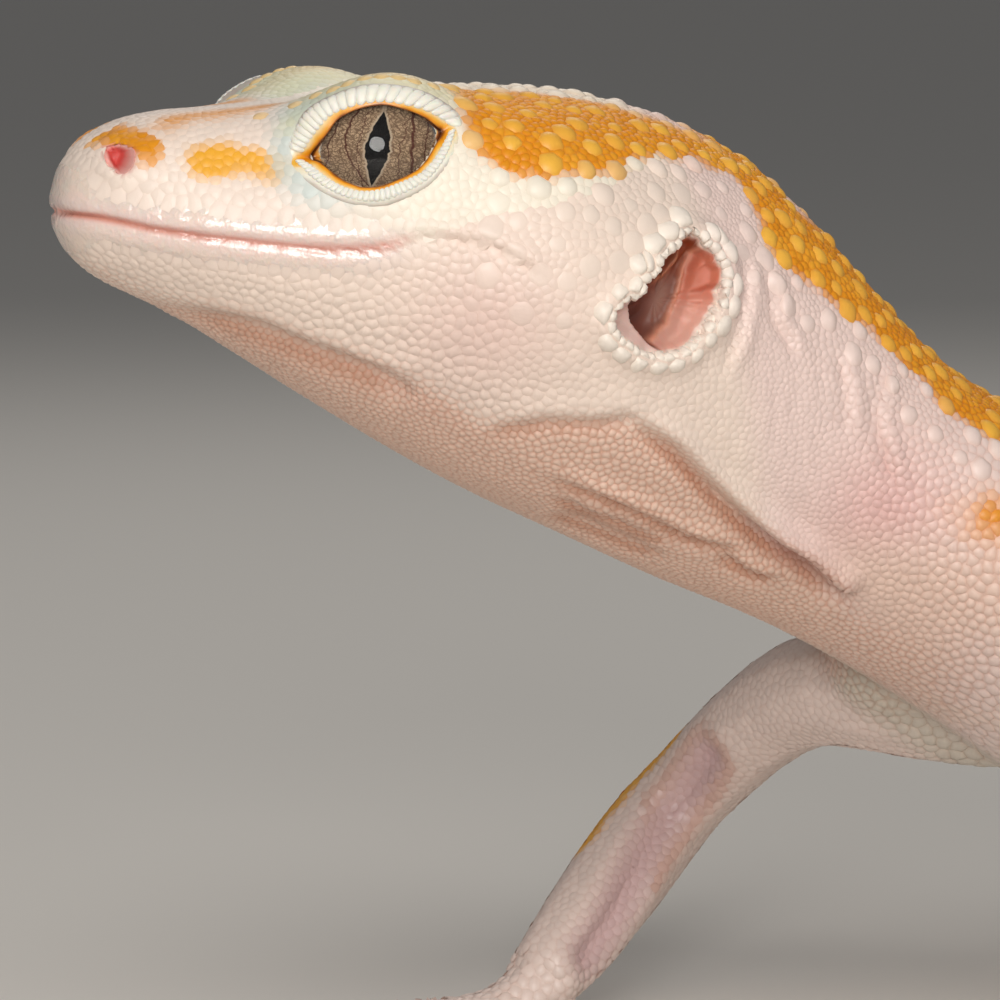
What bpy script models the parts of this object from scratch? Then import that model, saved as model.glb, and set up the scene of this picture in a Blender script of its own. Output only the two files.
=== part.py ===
"""Leopard gecko, a life-size still model: body loft, eyes, eardrums, four legs and a fat tail.

Run it with blender --background --python part.py, or from Blender's text editor.
Lengths are in millimetres in the tables and in metres in the scene. The animal faces -X, its left
side is -Y, and it stands on Z = 0. The origin ends up at the middle of the model's footprint.
"""

import math

import bmesh
import bpy
import numpy as np
from mathutils import Matrix, Vector

MM = 0.001
GAP = 0.3  # between neighbouring parts
REACH = 400.0  # size of a cutter that must pass right through the body

# Body sections, snout to tail tip. Along, half width, top, bottom, level of the widest place,
# squareness above that level, squareness below it (2 is an ellipse).
SECTIONS = (
    (0.3, 1.50, 41.80, 38.90, 40.4, 2.0, 2.0),
    (0.9, 2.60, 42.75, 37.90, 40.2, 2.1, 2.0),
    (1.9, 3.60, 43.55, 37.15, 40.0, 2.2, 2.0),
    (3.4, 4.65, 44.15, 36.35, 39.8, 2.4, 2.0),
    (5.2, 5.65, 44.45, 35.55, 39.6, 2.5, 2.0),
    (8.0, 6.90, 44.70, 33.80, 39.3, 2.7, 2.0),
    (12.0, 8.40, 45.00, 31.25, 38.9, 2.9, 2.0),
    (16.0, 9.80, 45.30, 28.90, 38.2, 2.7, 2.0),
    (20.0, 10.70, 45.35, 26.80, 37.2, 2.5, 2.0),
    (24.0, 10.30, 44.95, 24.85, 35.9, 2.3, 2.0),
    (28.0, 9.20, 43.85, 22.90, 34.0, 2.2, 2.0),
    (32.0, 8.30, 41.80, 21.25, 31.5, 2.1, 2.0),
    (36.0, 8.00, 38.00, 19.30, 28.7, 2.0, 2.0),
    (40.0, 8.60, 33.70, 17.00, 25.5, 2.0, 2.0),
    (44.0, 9.80, 31.00, 14.50, 22.5, 2.0, 2.1),
    (50.0, 11.20, 28.50, 10.50, 19.0, 2.0, 2.2),
    (58.0, 12.60, 26.00, 7.40, 15.9, 2.1, 2.3),
    (68.0, 13.80, 24.50, 5.20, 13.9, 2.1, 2.4),
    (78.0, 14.20, 23.60, 4.20, 13.0, 2.1, 2.4),
    (88.0, 13.40, 22.40, 4.00, 12.2, 2.1, 2.4),
    (96.0, 11.60, 20.60, 4.30, 11.4, 2.1, 2.3),
    (103.0, 9.40, 17.40, 4.40, 10.2, 2.0, 2.2),
    (108.0, 7.20, 14.20, 3.60, 8.6, 2.0, 2.0),
    (112.0, 6.00, 12.20, 2.40, 7.2, 2.0, 2.0),
    (118.0, 6.60, 12.20, 0.60, 6.2, 2.0, 2.0),
    (128.0, 7.60, 12.80, -0.50, 5.8, 2.1, 2.0),
    (138.0, 7.50, 12.40, -0.50, 5.6, 2.1, 2.0),
    (150.0, 6.50, 10.80, -0.50, 4.9, 2.0, 2.0),
    (162.0, 4.90, 8.30, -0.50, 3.8, 2.0, 2.0),
    (174.0, 3.20, 5.60, -0.40, 2.6, 2.0, 2.0),
    (184.0, 1.70, 3.20, -0.30, 1.5, 2.0, 2.0),
    (190.0, 0.80, 1.70, -0.15, 0.8, 2.0, 2.0),
)
# The spine seen from above: along, sideways.
SPINE = ((0, 0), (40, 0), (58, 2.0), (75, 4.0), (92, 2.6), (106, -1.0), (120, -5.0), (138, -7.5),
         (158, -4.5), (176, 3.0), (190, 11.0))
RING_SIDES = 24
NOSE_RINGS = (0.3, 0.55, 1.0, 1.7, 2.6, 3.7)
HEAD_STEP, HEAD_END = 1.65, 44.0
BODY_STEP, TAIL_END = 5.3, 190.0
NOSE_TIP = (0.15, 0.0, 40.4)
TAIL_TIP = (191.2, 11.8, 0.8)

# Soft swellings and hollows of the head and shoulders, on both sides: middle, spread, push.
FORMS = {
    "brow dome": ((12.7, 6.4, 45.0), (3.7, 2.5, 2.2), (0.0, 0.40, 1.30)),
    "forehead hollow": ((11.5, 0.0, 45.1), (6.0, 2.4, 2.0), (0.0, 0.0, -0.28)),
    "snout side hollow": ((7.2, 6.8, 42.3), (2.4, 2.2, 1.3), (0.0, -0.55, 0.0)),
    "nostril swelling": ((2.3, 3.6, 42.4), (1.4, 1.3, 1.2), (-0.1, 0.35, 0.15)),
    "below the eye": ((12.6, 8.6, 39.7), (3.6, 1.6, 1.1), (0.0, 0.25, 0.0)),
    "cheek": ((20.5, 10.6, 37.7), (4.6, 3.2, 3.4), (0.0, 0.55, 0.0)),
    "temple": ((18.2, 8.9, 43.9), (3.6, 2.6, 2.0), (0.0, 0.45, 0.25)),
    "throat pouch": ((21.0, 5.0, 28.0), (6.0, 4.0, 3.0), (0.0, 0.5, -0.2)),
    "shoulder": ((45.5, 10.0, 20.5), (4.5, 3.0, 4.5), (0.0, 0.6, 0.0)),
    "hip": ((100.5, 10.0, 12.0), (4.5, 3.0, 4.5), (0.0, 0.8, 0.3)),
}

# The mouth and the hinge side of the jaw, in side view: along, height.
MOUTH_LINE = ((-3.0, 40.05), (0.5, 39.85), (4.9, 39.25), (9.3, 38.75), (12.9, 38.55), (14.6, 38.70),
              (17.5, 37.50), (20.5, 33.90), (22.6, 29.00), (24.2, 20.50))
JAW_BELOW = 10.0

EYE_RADIUS = 3.3
EYE_AT = (13.1, 5.2, 42.6)
CORNEA_RADIUS, CORNEA_OUT = 2.5, 1.1
EYE_LOOK = (-0.33, 1.0, 0.13)
EYE_SEGMENTS, EYE_RINGS = 12, 7
LID_HALF = (4.15, 3.85, 4.1)  # along, up, out of the lids' bulge round the eye
LID_OPENING = (2.95, 1.75, 2.2)
LID_TILT = math.radians(10)
NOSTRIL_AT, NOSTRIL_RADIUS = (2.1, 3.55, 42.25), 0.62
EAR_AT = (25.2, 10.0, 36.6)
EAR_HALF = (2.25, 2.5, 2.85)  # along, deep, high
EAR_LEAN = math.radians(18)
DRUM_INSET, DRUM_HALF = 1.35, (1.6, 0.35, 2.15)

# Where the body is parted: a point and the direction of the cut's rear side.
CUTS = {
    "head": ((29.6, 0, 33.0), (0.94, 0, -0.35)),
    "neck": ((42.5, 0, 24.0), (0.88, 0, -0.47)),
    "chest": ((59.0, 0, 15.0), (1, 0.08, 0)),
    "belly": ((88.0, 0, 12.0), (1, -0.17, 0)),
    "hips": ((109.5, 0, 8.0), (1, -0.30, 0)),
    "tail_base": ((134.0, 0, 6.0), (1, -0.10, 0)),
    "tail_middle": ((160.0, 0, 4.0), (1, 0.25, 0)),
    "tail_tip": None,
}

# Legs from the root inside the body to the wrist or ankle: place, radius. Then where the foot
# points, seen from above.
LEGS = {
    "right_fore": (((47.0, 3.0, 15.9), 3.3), ((42.4, 5.0, 16.6), 3.3), ((39.9, 8.4, 16.7), 3.0),
                   ((38.6, 12.4, 14.9), 2.6), ((36.6, 17.4, 10.6), 2.4), ((34.5, 17.4, 8.4), 2.6),
                   ((30.6, 15.2, 4.9), 2.5), ((27.3, 13.4, 2.3), 1.95)),
    "left_fore": (((47.0, -3.0, 16.4), 3.3), ((48.2, -6.6, 16.7), 3.3), ((49.6, -10.2, 15.8), 3.0),
                  ((52.0, -14.0, 13.6), 2.6), ((55.2, -18.4, 10.8), 2.4), ((54.6, -20.8, 8.8), 2.6),
                  ((52.4, -24.0, 5.1), 2.5), ((50.4, -26.6, 2.3), 1.95)),
    "right_hind": (((100.0, 2.5, 12.0), 4.0), ((100.6, 6.5, 11.8), 4.3), ((102.0, 11.5, 11.2), 4.1),
                   ((104.0, 17.0, 10.2), 3.5), ((106.4, 22.2, 8.8), 2.8), ((108.6, 23.6, 7.9), 2.9),
                   ((113.4, 25.8, 5.2), 2.5), ((117.6, 27.4, 2.4), 1.95)),
    "left_hind": (((99.6, -1.0, 12.0), 4.0), ((98.6, -5.0, 12.0), 4.3), ((95.8, -9.6, 11.9), 4.1),
                  ((92.0, -14.4, 11.3), 3.5), ((88.6, -19.0, 10.2), 2.8), ((88.9, -21.4, 8.8), 2.9),
                  ((91.8, -25.4, 5.2), 2.5), ((94.8, -28.6, 2.4), 1.95)),
}
FOOT_TURN = {"right_fore": 178.0, "left_fore": 214.0, "right_hind": 112.0, "left_hind": 206.0}
LEG_PART_NAMES = {"fore": ("upper_foreleg", "lower_foreleg", "forefoot"),
                  "hind": ("thigh", "shank", "hindfoot")}
# Palm half sizes and the toes: turn from the foot's line, length from the palm's middle.
PALMS = {"fore": (2.7, 2.3, 1.2), "hind": (3.3, 2.4, 1.3)}
TOES = {"fore": ((-74, 4.7), (-38, 6.3), (-6, 6.9), (26, 6.6), (64, 5.3)),
        "hind": ((-62, 5.4), (-30, 7.2), (-6, 8.6), (20, 9.2), (58, 7.0))}
PALM_AHEAD = 2.5
SOLE_CUT, WRIST_RADIUS, HEEL_BEHIND = 0.3, 1.85, 1.1
TOE_RADIUS, TOE_RISE, CLAW_LENGTH, CLAW_RADIUS, CLAW_TIP = 0.66, 1.15, 1.3, 0.36, 0.16
ELBOW, WRIST = 4, 7  # which leg points the cuts go through

COLOURS = {  # base colour (linear), roughness
    "skin": ((0.72, 0.58, 0.52), 0.5),
    "orange skin": ((0.80, 0.52, 0.28), 0.5),
    "eye": ((0.16, 0.09, 0.05), 0.12),
    "eardrum": ((0.50, 0.20, 0.15), 0.4),
    "tail skin": ((0.76, 0.66, 0.56), 0.5),
}


def collection(name, hidden=False):
    made = bpy.data.collections.new(name)
    bpy.context.scene.collection.children.link(made)
    made.hide_render = hidden
    return made


def clear_scene():
    for thing in list(bpy.data.objects):
        bpy.data.objects.remove(thing, do_unlink=True)


def material(name, kind):
    colour, roughness = COLOURS[kind]
    made = bpy.data.materials.new(name)
    made.use_nodes = True
    shader = made.node_tree.nodes["Principled BSDF"]
    shader.inputs["Base Color"].default_value = (*colour, 1)
    shader.inputs["Roughness"].default_value = roughness
    shader.inputs["Metallic"].default_value = 0.0
    return made


def add_object(name, mesh, into):
    made = bpy.data.objects.new(name, mesh)
    into.objects.link(made)
    return made


def cutter(name, mesh):
    made = add_object(name, mesh, CUTTERS)
    made.hide_render = True
    made.display_type = "WIRE"
    return made


def node(name, mesh, kind, smooth=True):
    """A visible part with a material of its own."""
    mesh.name = name
    made = add_object(name, mesh, PARTS)
    mesh.materials.clear()
    mesh.materials.append(material(name, kind))
    if smooth:
        mesh.shade_smooth()
        mesh.set_sharp_from_angle(angle=math.radians(50))
    return made


def mesh_of(bm, name):
    bmesh.ops.recalc_face_normals(bm, faces=bm.faces)
    mesh = bpy.data.meshes.new(name)
    bm.to_mesh(mesh)
    bm.free()
    return mesh


def baked(thing, name):
    """The evaluated mesh of an object, in world space."""
    graph = bpy.context.evaluated_depsgraph_get()
    mesh = bpy.data.meshes.new_from_object(thing.evaluated_get(graph))
    mesh.transform(thing.matrix_world)
    bm = bmesh.new()
    bm.from_mesh(mesh)
    bmesh.ops.remove_doubles(bm, verts=bm.verts, dist=2e-6)
    bmesh.ops.dissolve_degenerate(bm, edges=bm.edges, dist=2e-6)
    bmesh.ops.triangulate(bm, faces=bm.faces)
    bpy.data.meshes.remove(mesh)
    return mesh_of(bm, name)


def carve(mesh, name, steps):
    """Runs Boolean steps, pairs of an operation and another object, on a mesh."""
    work = cutter(name + "_work", mesh)
    for operation, other in steps:
        change = work.modifiers.new(operation.lower(), "BOOLEAN")
        change.operation = operation
        change.object = other
        change.solver = "EXACT"
    result = baked(work, name)
    bpy.data.objects.remove(work)
    return result


def box(name, low, high):
    bm = bmesh.new()
    bmesh.ops.create_cube(bm, size=1)
    middle = (Vector(low) + Vector(high)) / 2 * MM
    size = (Vector(high) - Vector(low)) * MM
    bmesh.ops.transform(bm, verts=bm.verts, matrix=Matrix.Translation(middle) @ Matrix.Diagonal((*size, 1)))
    return cutter(name, mesh_of(bm, name))


def half_space(name, point, outward):
    """A big block on the outward side of the plane through a point."""
    bm = bmesh.new()
    bmesh.ops.create_cube(bm, size=REACH * MM)
    turn = Vector(outward).to_track_quat("Z", "Y").to_matrix().to_4x4()
    middle = Vector(point) + Vector(outward).normalized() * REACH / 2
    bmesh.ops.transform(bm, verts=bm.verts, matrix=Matrix.Translation(middle * MM) @ turn)
    return cutter(name, mesh_of(bm, name))


def ball(name, middle, half, turn=None, segments=EYE_SEGMENTS, rings=EYE_RINGS):
    bm = bmesh.new()
    bmesh.ops.create_uvsphere(bm, u_segments=segments, v_segments=rings, radius=1)
    place = Matrix.Translation(Vector(middle) * MM) @ (turn or Matrix())
    bmesh.ops.transform(bm, verts=bm.verts, matrix=place @ Matrix.Diagonal((*(Vector(half) * MM), 1)))
    return mesh_of(bm, name)


def tube(name, points, sides=3, steps=2):
    """A round limb through the points, each a place and a radius, as a closed mesh."""
    curve = bpy.data.curves.new(name, "CURVE")
    curve.dimensions = "3D"
    curve.bevel_depth = MM
    curve.bevel_resolution = sides
    curve.use_fill_caps = True
    curve.twist_mode = "MINIMUM"
    spline = curve.splines.new("NURBS")
    spline.points.add(len(points) - 1)
    for point, (place, radius) in zip(spline.points, points):
        point.co = (*(Vector(place) * MM), 1)
        point.radius = radius
    spline.order_u = 3
    spline.use_endpoint_u = True
    curve.resolution_u = steps
    thing = add_object(name, curve, CUTTERS)
    thing.hide_render = True
    mesh = baked(thing, name)
    bpy.data.objects.remove(thing)
    return mesh


def smooth_read(table, at):
    """Reads every column of a table at the given places, on a smooth curve without overshoot."""
    rows = np.array(table, dtype=float)
    along, values = rows[:, 0], rows[:, 1:]
    step = np.diff(along)[:, None]
    slope = np.diff(values, axis=0) / step
    tangent = np.vstack([slope[:1], (slope[1:] + slope[:-1]) / 2, slope[-1:]])
    turning = np.vstack([[False] * values.shape[1], slope[1:] * slope[:-1] <= 0, [False] * values.shape[1]])
    tangent[turning] = 0
    at = np.clip(at, along[0], along[-1])
    k = np.clip(np.searchsorted(along, at) - 1, 0, len(along) - 2)
    t = ((at - along[k]) / step[k, 0])[:, None]
    before, after = values[k], values[k + 1]
    pull_in, pull_out = tangent[k] * step[k], tangent[k + 1] * step[k]
    return (before * (2 * t**3 - 3 * t**2 + 1) + pull_in * (t**3 - 2 * t**2 + t)
            + after * (3 * t**2 - 2 * t**3) + pull_out * (t**3 - t**2))


def body_rings():
    """Rings of points of the whole body, head to tail."""
    places = list(NOSE_RINGS)
    places += list(np.arange(NOSE_RINGS[-1] + HEAD_STEP, HEAD_END, HEAD_STEP))
    places += list(np.linspace(places[-1] + BODY_STEP / 2, TAIL_END, int((TAIL_END - HEAD_END) / BODY_STEP)))
    angles = 2 * np.pi * (np.arange(RING_SIDES) + 0.5) / RING_SIDES
    side, up = np.sin(angles), np.cos(angles)
    spine = smooth_read(SPINE, np.array(places))[:, 0]
    rings = []
    for x, middle, row in zip(places, spine, smooth_read(SECTIONS, np.array(places))):
        half_width, top, bottom, widest, square_above, square_below = row
        power = np.where(up > 0, 2 / square_above, 2 / square_below)
        y = middle + half_width * np.sign(side) * np.abs(side) ** power
        height = np.where(up > 0, top - widest, widest - bottom)
        z = widest + height * np.sign(up) * np.abs(up) ** power
        rings.append(np.column_stack([np.full(RING_SIDES, x), y, z]))
    return rings


def push_forms(points):
    """Swells or hollows the body softly at each named form, on both sides."""
    moved = points.copy()
    for middle, spread, push in FORMS.values():
        for side in (1, -1) if middle[1] else (1,):
            mirror = np.array([1, side, 1])
            away = (points - np.array(middle) * mirror) / np.array(spread)
            moved += np.exp(-(away**2).sum(axis=1))[:, None] * np.array(push) * mirror
    return moved


def body_mesh():
    rings = body_rings()
    points = push_forms(np.vstack(rings))
    bm = bmesh.new()
    verts = [bm.verts.new(Vector(p) * MM) for p in points]
    grid = [verts[i * RING_SIDES:(i + 1) * RING_SIDES] for i in range(len(rings))]
    for ring, after in zip(grid, grid[1:]):
        for k in range(RING_SIDES):
            bm.faces.new((ring[k - 1], ring[k], after[k], after[k - 1]))
    for tip, ring in ((NOSE_TIP, grid[0]), (TAIL_TIP, grid[-1])):
        centre = bm.verts.new(Vector(tip) * MM)
        for k in range(RING_SIDES):
            bm.faces.new((ring[k - 1], ring[k], centre))
    bmesh.ops.triangulate(bm, faces=bm.faces)
    return mesh_of(bm, "body")


def jaw_block(name, shift):
    """The space of the lower jaw: below the mouth line and in front of the jaw's hinge side."""
    outline = [(x + shift, z + shift) for x, z in MOUTH_LINE]
    outline += [(MOUTH_LINE[-1][0] + shift, JAW_BELOW), (MOUTH_LINE[0][0], JAW_BELOW)]
    bm = bmesh.new()
    face = bm.faces.new([bm.verts.new(Vector((x, -REACH / 8, z)) * MM) for x, z in outline])
    swept = bmesh.ops.extrude_face_region(bm, geom=[face])["geom"]
    far = [v for v in swept if isinstance(v, bmesh.types.BMVert)]
    bmesh.ops.translate(bm, verts=far, vec=Vector((0, REACH / 4, 0)) * MM)
    return cutter(name, mesh_of(bm, name))


def both_sides():
    return (("left", -1), ("right", 1))


def beside(place, side):
    return (place[0], place[1] * side, place[2])


def head_openings():
    """Cutters for the eye sockets, nostrils and ears."""
    openings = []
    for name, side in both_sides():
        socket = EYE_RADIUS + GAP
        look = Vector(beside(EYE_LOOK, side)).normalized()
        openings.append(cutter("socket_" + name, ball("socket", beside(EYE_AT, side), (socket,) * 3)))
        slit = Vector(beside(EYE_AT, side)) + look * LID_HALF[2]
        openings.append(cutter("lid_slit_" + name, ball("slit", slit, LID_OPENING, lid_turn(side))))
        nostril = ball("nostril", beside(NOSTRIL_AT, side), (NOSTRIL_RADIUS,) * 3, None, 8, 5)
        openings.append(cutter("nostril_" + name, nostril))
        openings.append(cutter("ear_" + name, ball("ear", beside(EAR_AT, side), EAR_HALF, ear_turn(), 12, 8)))
    return openings


def lid_turn(side):
    """Turns a shape built along, up and out so that it looks the way the eye does."""
    out = Vector(beside(EYE_LOOK, side)).normalized()
    along = Vector((1, 0, math.tan(LID_TILT)))
    along = (along - out * along.dot(out)).normalized()
    return Matrix((along, out.cross(along), out)).transposed().to_4x4()


def ear_turn():
    return Matrix.Rotation(EAR_LEAN, 4, "Y")


def build_body(body):
    floor = box("floor", (-REACH, -REACH, -REACH), (REACH, REACH, 0))
    openings = [("DIFFERENCE", opening) for opening in head_openings()]
    lids = [("UNION", cutter("lids_" + name, ball("lids", beside(EYE_AT, side), LID_HALF, lid_turn(side))))
            for name, side in both_sides()]
    jaw = jaw_block("jaw_block", 0)
    jaw_room = jaw_block("jaw_room", GAP)
    node("lower_jaw", carve(body.copy(), "lower_jaw", [("INTERSECT", jaw)]), "skin")
    before = None
    for name, cut in CUTS.items():
        steps = [("DIFFERENCE", before)] if before else [("DIFFERENCE", jaw_room)]
        if cut:
            point, rearward = cut
            steps.append(("DIFFERENCE", half_space(name + "_end", point, rearward)))
            start = Vector(point) + Vector(rearward).normalized() * GAP
            before = half_space(name + "_next", start, -Vector(rearward))
        if name == "head":
            steps = lids + steps + openings
        if name.startswith("tail") or name == "hips":
            steps.append(("DIFFERENCE", floor))
        node(name, carve(body.copy(), name, steps), "tail skin" if "tail" in name else "skin")
    return floor


def build_eyes():
    for name, side in both_sides():
        look = Vector(beside(EYE_LOOK, side)).normalized()
        turn = look.to_track_quat("Z", "Y").to_matrix().to_4x4()
        centre = Vector(beside(EYE_AT, side))
        globe = ball("globe", centre, (EYE_RADIUS,) * 3, turn)
        cornea = cutter("cornea_" + name, ball("cornea", centre + look * CORNEA_OUT, (CORNEA_RADIUS,) * 3, turn))
        node("eye_" + name, carve(globe, "eye_" + name, [("UNION", cornea)]), "eye")


def build_eardrums():
    for name, side in both_sides():
        inner = beside((EAR_AT[0], EAR_AT[1] - DRUM_INSET, EAR_AT[2]), side)
        node("eardrum_" + name, ball("eardrum", inner, DRUM_HALF, ear_turn(), 12, 6), "eardrum")


def foot_mesh(name, kind, wrist, heading):
    """A palm with five toes, each arched, with a claw."""
    ahead = Vector((math.cos(heading), math.sin(heading), 0))
    half = PALMS[kind]
    palm_at = Vector((wrist[0], wrist[1], half[2] - SOLE_CUT)) + ahead * PALM_AHEAD
    palm = ball(name, palm_at, half, Matrix.Rotation(heading, 4, "Z"), 10, 6)
    middle = Vector(wrist).lerp(palm_at, 0.5)
    heel = Vector(wrist) - ahead * HEEL_BEHIND
    instep = tube("instep", ((heel, WRIST_RADIUS), (middle, 1.75), (palm_at, 1.1)), 1)
    steps = [("UNION", cutter(name + "_instep", instep))]
    side = 1 if name.endswith("right") else -1
    for count, (spread, length) in enumerate(TOES[kind]):
        angle = heading + math.radians(spread) * side
        out = Vector((math.cos(angle), math.sin(angle), 0))
        base, knuckle, pad, end = (
            Vector((*(palm_at + out * along).xy, height)) for along, height in
            ((0.9, 1.1), (length * 0.6, TOE_RISE), (length - 0.6, 0.5), (length, 0.5)))
        toe = tube("toe", ((base, TOE_RADIUS * 1.15), (knuckle, TOE_RADIUS), (pad, TOE_RADIUS * 0.92),
                           (end, TOE_RADIUS * 0.55)), 1, 1)
        steps.append(("UNION", cutter(f"{name}_toe_{count}", toe)))
        root, tip = end - out * 0.5, end + out * CLAW_LENGTH
        claw = tube("claw", ((Vector((*root.xy, 0.68)), CLAW_RADIUS),
                             (Vector((*end.lerp(tip, 0.5).xy, 0.62)), CLAW_RADIUS * 0.85),
                             (Vector((*tip.xy, 0.22)), CLAW_TIP)), 0, 1)
        steps.append(("UNION", cutter(f"{name}_claw_{count}", claw)))
    return carve(palm, name, steps)


def grown(name, mesh):
    """A cutter a gap larger all round than a mesh."""
    made = cutter(name + "_room", mesh.copy())
    swell = made.modifiers.new("grow", "DISPLACE")
    swell.strength = GAP * MM
    swell.mid_level = 0
    return made


def build_legs(body, floor):
    body_room = grown("body", body)
    for leg, points in LEGS.items():
        side, kind = leg.split("_")
        upper, lower, foot = (f"{part}_{side}" for part in LEG_PART_NAMES[kind])
        places = [Vector(place) for place, radius in points]
        elbow, wrist = places[ELBOW], places[WRIST]
        bend = (places[ELBOW + 1] - places[ELBOW - 1]).normalized()
        down = (places[WRIST] - places[WRIST - 1]).normalized()
        whole = tube(leg, points)
        past_elbow = half_space(leg + "_past_elbow", elbow, bend)
        before_elbow = half_space(leg + "_before_elbow", elbow + bend * GAP, -bend)
        past_wrist = half_space(leg + "_past_wrist", wrist - down * GAP, down)
        steps = [("DIFFERENCE", past_elbow), ("DIFFERENCE", body_room)]
        node(upper, carve(whole.copy(), upper, steps), "skin")
        steps = [("DIFFERENCE", before_elbow), ("DIFFERENCE", past_wrist), ("DIFFERENCE", floor)]
        shin = node(lower, carve(whole.copy(), lower, steps), "skin")
        mesh = foot_mesh(foot, kind, wrist, math.radians(FOOT_TURN[leg]))
        node(foot, carve(mesh, foot, [("DIFFERENCE", grown(lower, shin.data)), ("DIFFERENCE", floor)]), "skin")


def stand_on_origin():
    """Moves everything so that the middle of the model's box is over the origin, feet on Z = 0."""
    bpy.context.view_layer.update()
    corners = [thing.matrix_world @ Vector(corner) for thing in PARTS.objects for corner in thing.bound_box]
    middle = [(min(c[i] for c in corners) + max(c[i] for c in corners)) / 2 for i in (0, 1)]
    for thing in PARTS.objects:
        thing.data.transform(Matrix.Translation((-middle[0], -middle[1], 0)))


clear_scene()
PARTS = collection("leopard_gecko")
CUTTERS = collection("cutters", hidden=True)
whole_body = body_mesh()
ground = build_body(whole_body)
build_eyes()
build_eardrums()
build_legs(whole_body, ground)
stand_on_origin()
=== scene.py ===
"""Leopard gecko, a life-size still model: one skin, solid scales, lids, eyes, ears and claws.

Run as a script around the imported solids. The working frame is in millimetres from the snout: the
animal faces -X, its left side is -Y, and it stands on Z = 0.
"""

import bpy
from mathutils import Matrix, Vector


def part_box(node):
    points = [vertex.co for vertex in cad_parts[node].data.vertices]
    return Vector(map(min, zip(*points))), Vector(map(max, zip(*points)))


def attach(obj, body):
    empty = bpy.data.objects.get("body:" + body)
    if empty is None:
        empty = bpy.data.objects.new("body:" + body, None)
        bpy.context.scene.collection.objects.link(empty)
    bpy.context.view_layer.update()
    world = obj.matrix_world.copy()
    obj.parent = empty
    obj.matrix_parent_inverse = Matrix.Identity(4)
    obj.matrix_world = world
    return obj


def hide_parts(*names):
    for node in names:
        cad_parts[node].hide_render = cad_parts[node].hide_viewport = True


bl_info = {
    "name": "Leopard Gecko",
    "version": (1, 0, 0),
    "blender": (4, 5, 0),
    "location": "3D View > Sidebar > Gecko",
    "description": "Skins, scales and lights a life-size leopard gecko round its packed solids",
    "category": "Add Mesh",
}

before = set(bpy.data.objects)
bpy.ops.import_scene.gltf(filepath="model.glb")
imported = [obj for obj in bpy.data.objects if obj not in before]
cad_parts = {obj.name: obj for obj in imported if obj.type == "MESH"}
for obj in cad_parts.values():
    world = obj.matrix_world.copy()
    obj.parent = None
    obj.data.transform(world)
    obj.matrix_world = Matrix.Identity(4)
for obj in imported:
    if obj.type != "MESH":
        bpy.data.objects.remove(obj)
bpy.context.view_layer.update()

import math

import bmesh
import bpy
import numpy as np
from mathutils import Matrix, Vector
from mathutils.bvhtree import BVHTree
from mathutils.kdtree import KDTree

MM = 0.001
BODY = "root"
TORSO = ("head", "lower_jaw", "neck", "chest", "belly", "hips", "tail_base", "tail_middle", "tail_tip")
LIMBS = {
    "foreleg_left": ("upper_foreleg_left", "lower_foreleg_left", "forefoot_left"),
    "foreleg_right": ("upper_foreleg_right", "lower_foreleg_right", "forefoot_right"),
    "hindleg_left": ("thigh_left", "shank_left", "hindfoot_left"),
    "hindleg_right": ("thigh_right", "shank_right", "hindfoot_right"),
}
SIDES = (("left", -1), ("right", 1))
SNOUT_GAP = 0.15  # the snout's tip is this far behind the frame's zero


def box_middle(node):
    low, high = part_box(node)
    return (np.array(low) + np.array(high)) / 2


SHIFT = np.array([
    min(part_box("head")[0][0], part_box("lower_jaw")[0][0]) - SNOUT_GAP * MM,
    (box_middle("eye_left")[1] + box_middle("eye_right")[1]) / 2,
    0.0,
])


def from_metres(points):
    return (np.asarray(points, dtype=float) - SHIFT) / MM


def to_metres(points):
    return np.asarray(points, dtype=float) * MM + SHIFT


def linear(code):
    """An sRGB hex colour as linear red, green and blue."""
    parts = [int(code.lstrip("#")[i:i + 2], 16) / 255 for i in (0, 2, 4)]
    return np.array([c / 12.92 if c <= 0.04045 else ((c + 0.055) / 1.055) ** 2.4 for c in parts])


# ---------------------------------------------------------------- settings

class GECKO_PG_skin(bpy.types.PropertyGroup):
    coat_depth: bpy.props.FloatProperty(
        name="Coat depth", description="How far the skin lies inside the solids", default=0.00015,
        min=0, max=0.001, subtype="DISTANCE", unit="LENGTH", precision=5)
    head_row: bpy.props.FloatProperty(
        name="Head row", description="Spacing of the skin's rows of points on head and neck",
        default=0.00027, min=0.0001, max=0.002, subtype="DISTANCE", unit="LENGTH", precision=5)
    body_row: bpy.props.FloatProperty(
        name="Body row", description="Spacing of the skin's rows of points on body and tail",
        default=0.00075, min=0.0002, max=0.004, subtype="DISTANCE", unit="LENGTH", precision=5)
    limb_voxel: bpy.props.FloatProperty(
        name="Limb voxel", description="Voxel size that joins each leg's solids",
        default=0.00035, min=0.0001, max=0.002, subtype="DISTANCE", unit="LENGTH", precision=5)


class GECKO_PG_scales(bpy.types.PropertyGroup):
    seed: bpy.props.IntProperty(name="Seed", description="Seed of the scattered scales", default=7, min=0)
    coarseness: bpy.props.FloatProperty(
        name="Coarseness", description="Multiplies the pitch of every scale", default=1.0, min=0.5, max=4,
        subtype="FACTOR")
    relief: bpy.props.FloatProperty(
        name="Relief", description="Multiplies how far every scale stands up", default=1.0, min=0, max=3,
        subtype="FACTOR")


# ---------------------------------------------------------------- meshes and materials

def unit(vectors):
    return vectors / np.maximum(np.linalg.norm(vectors, axis=-1, keepdims=True), 1e-12)


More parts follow.
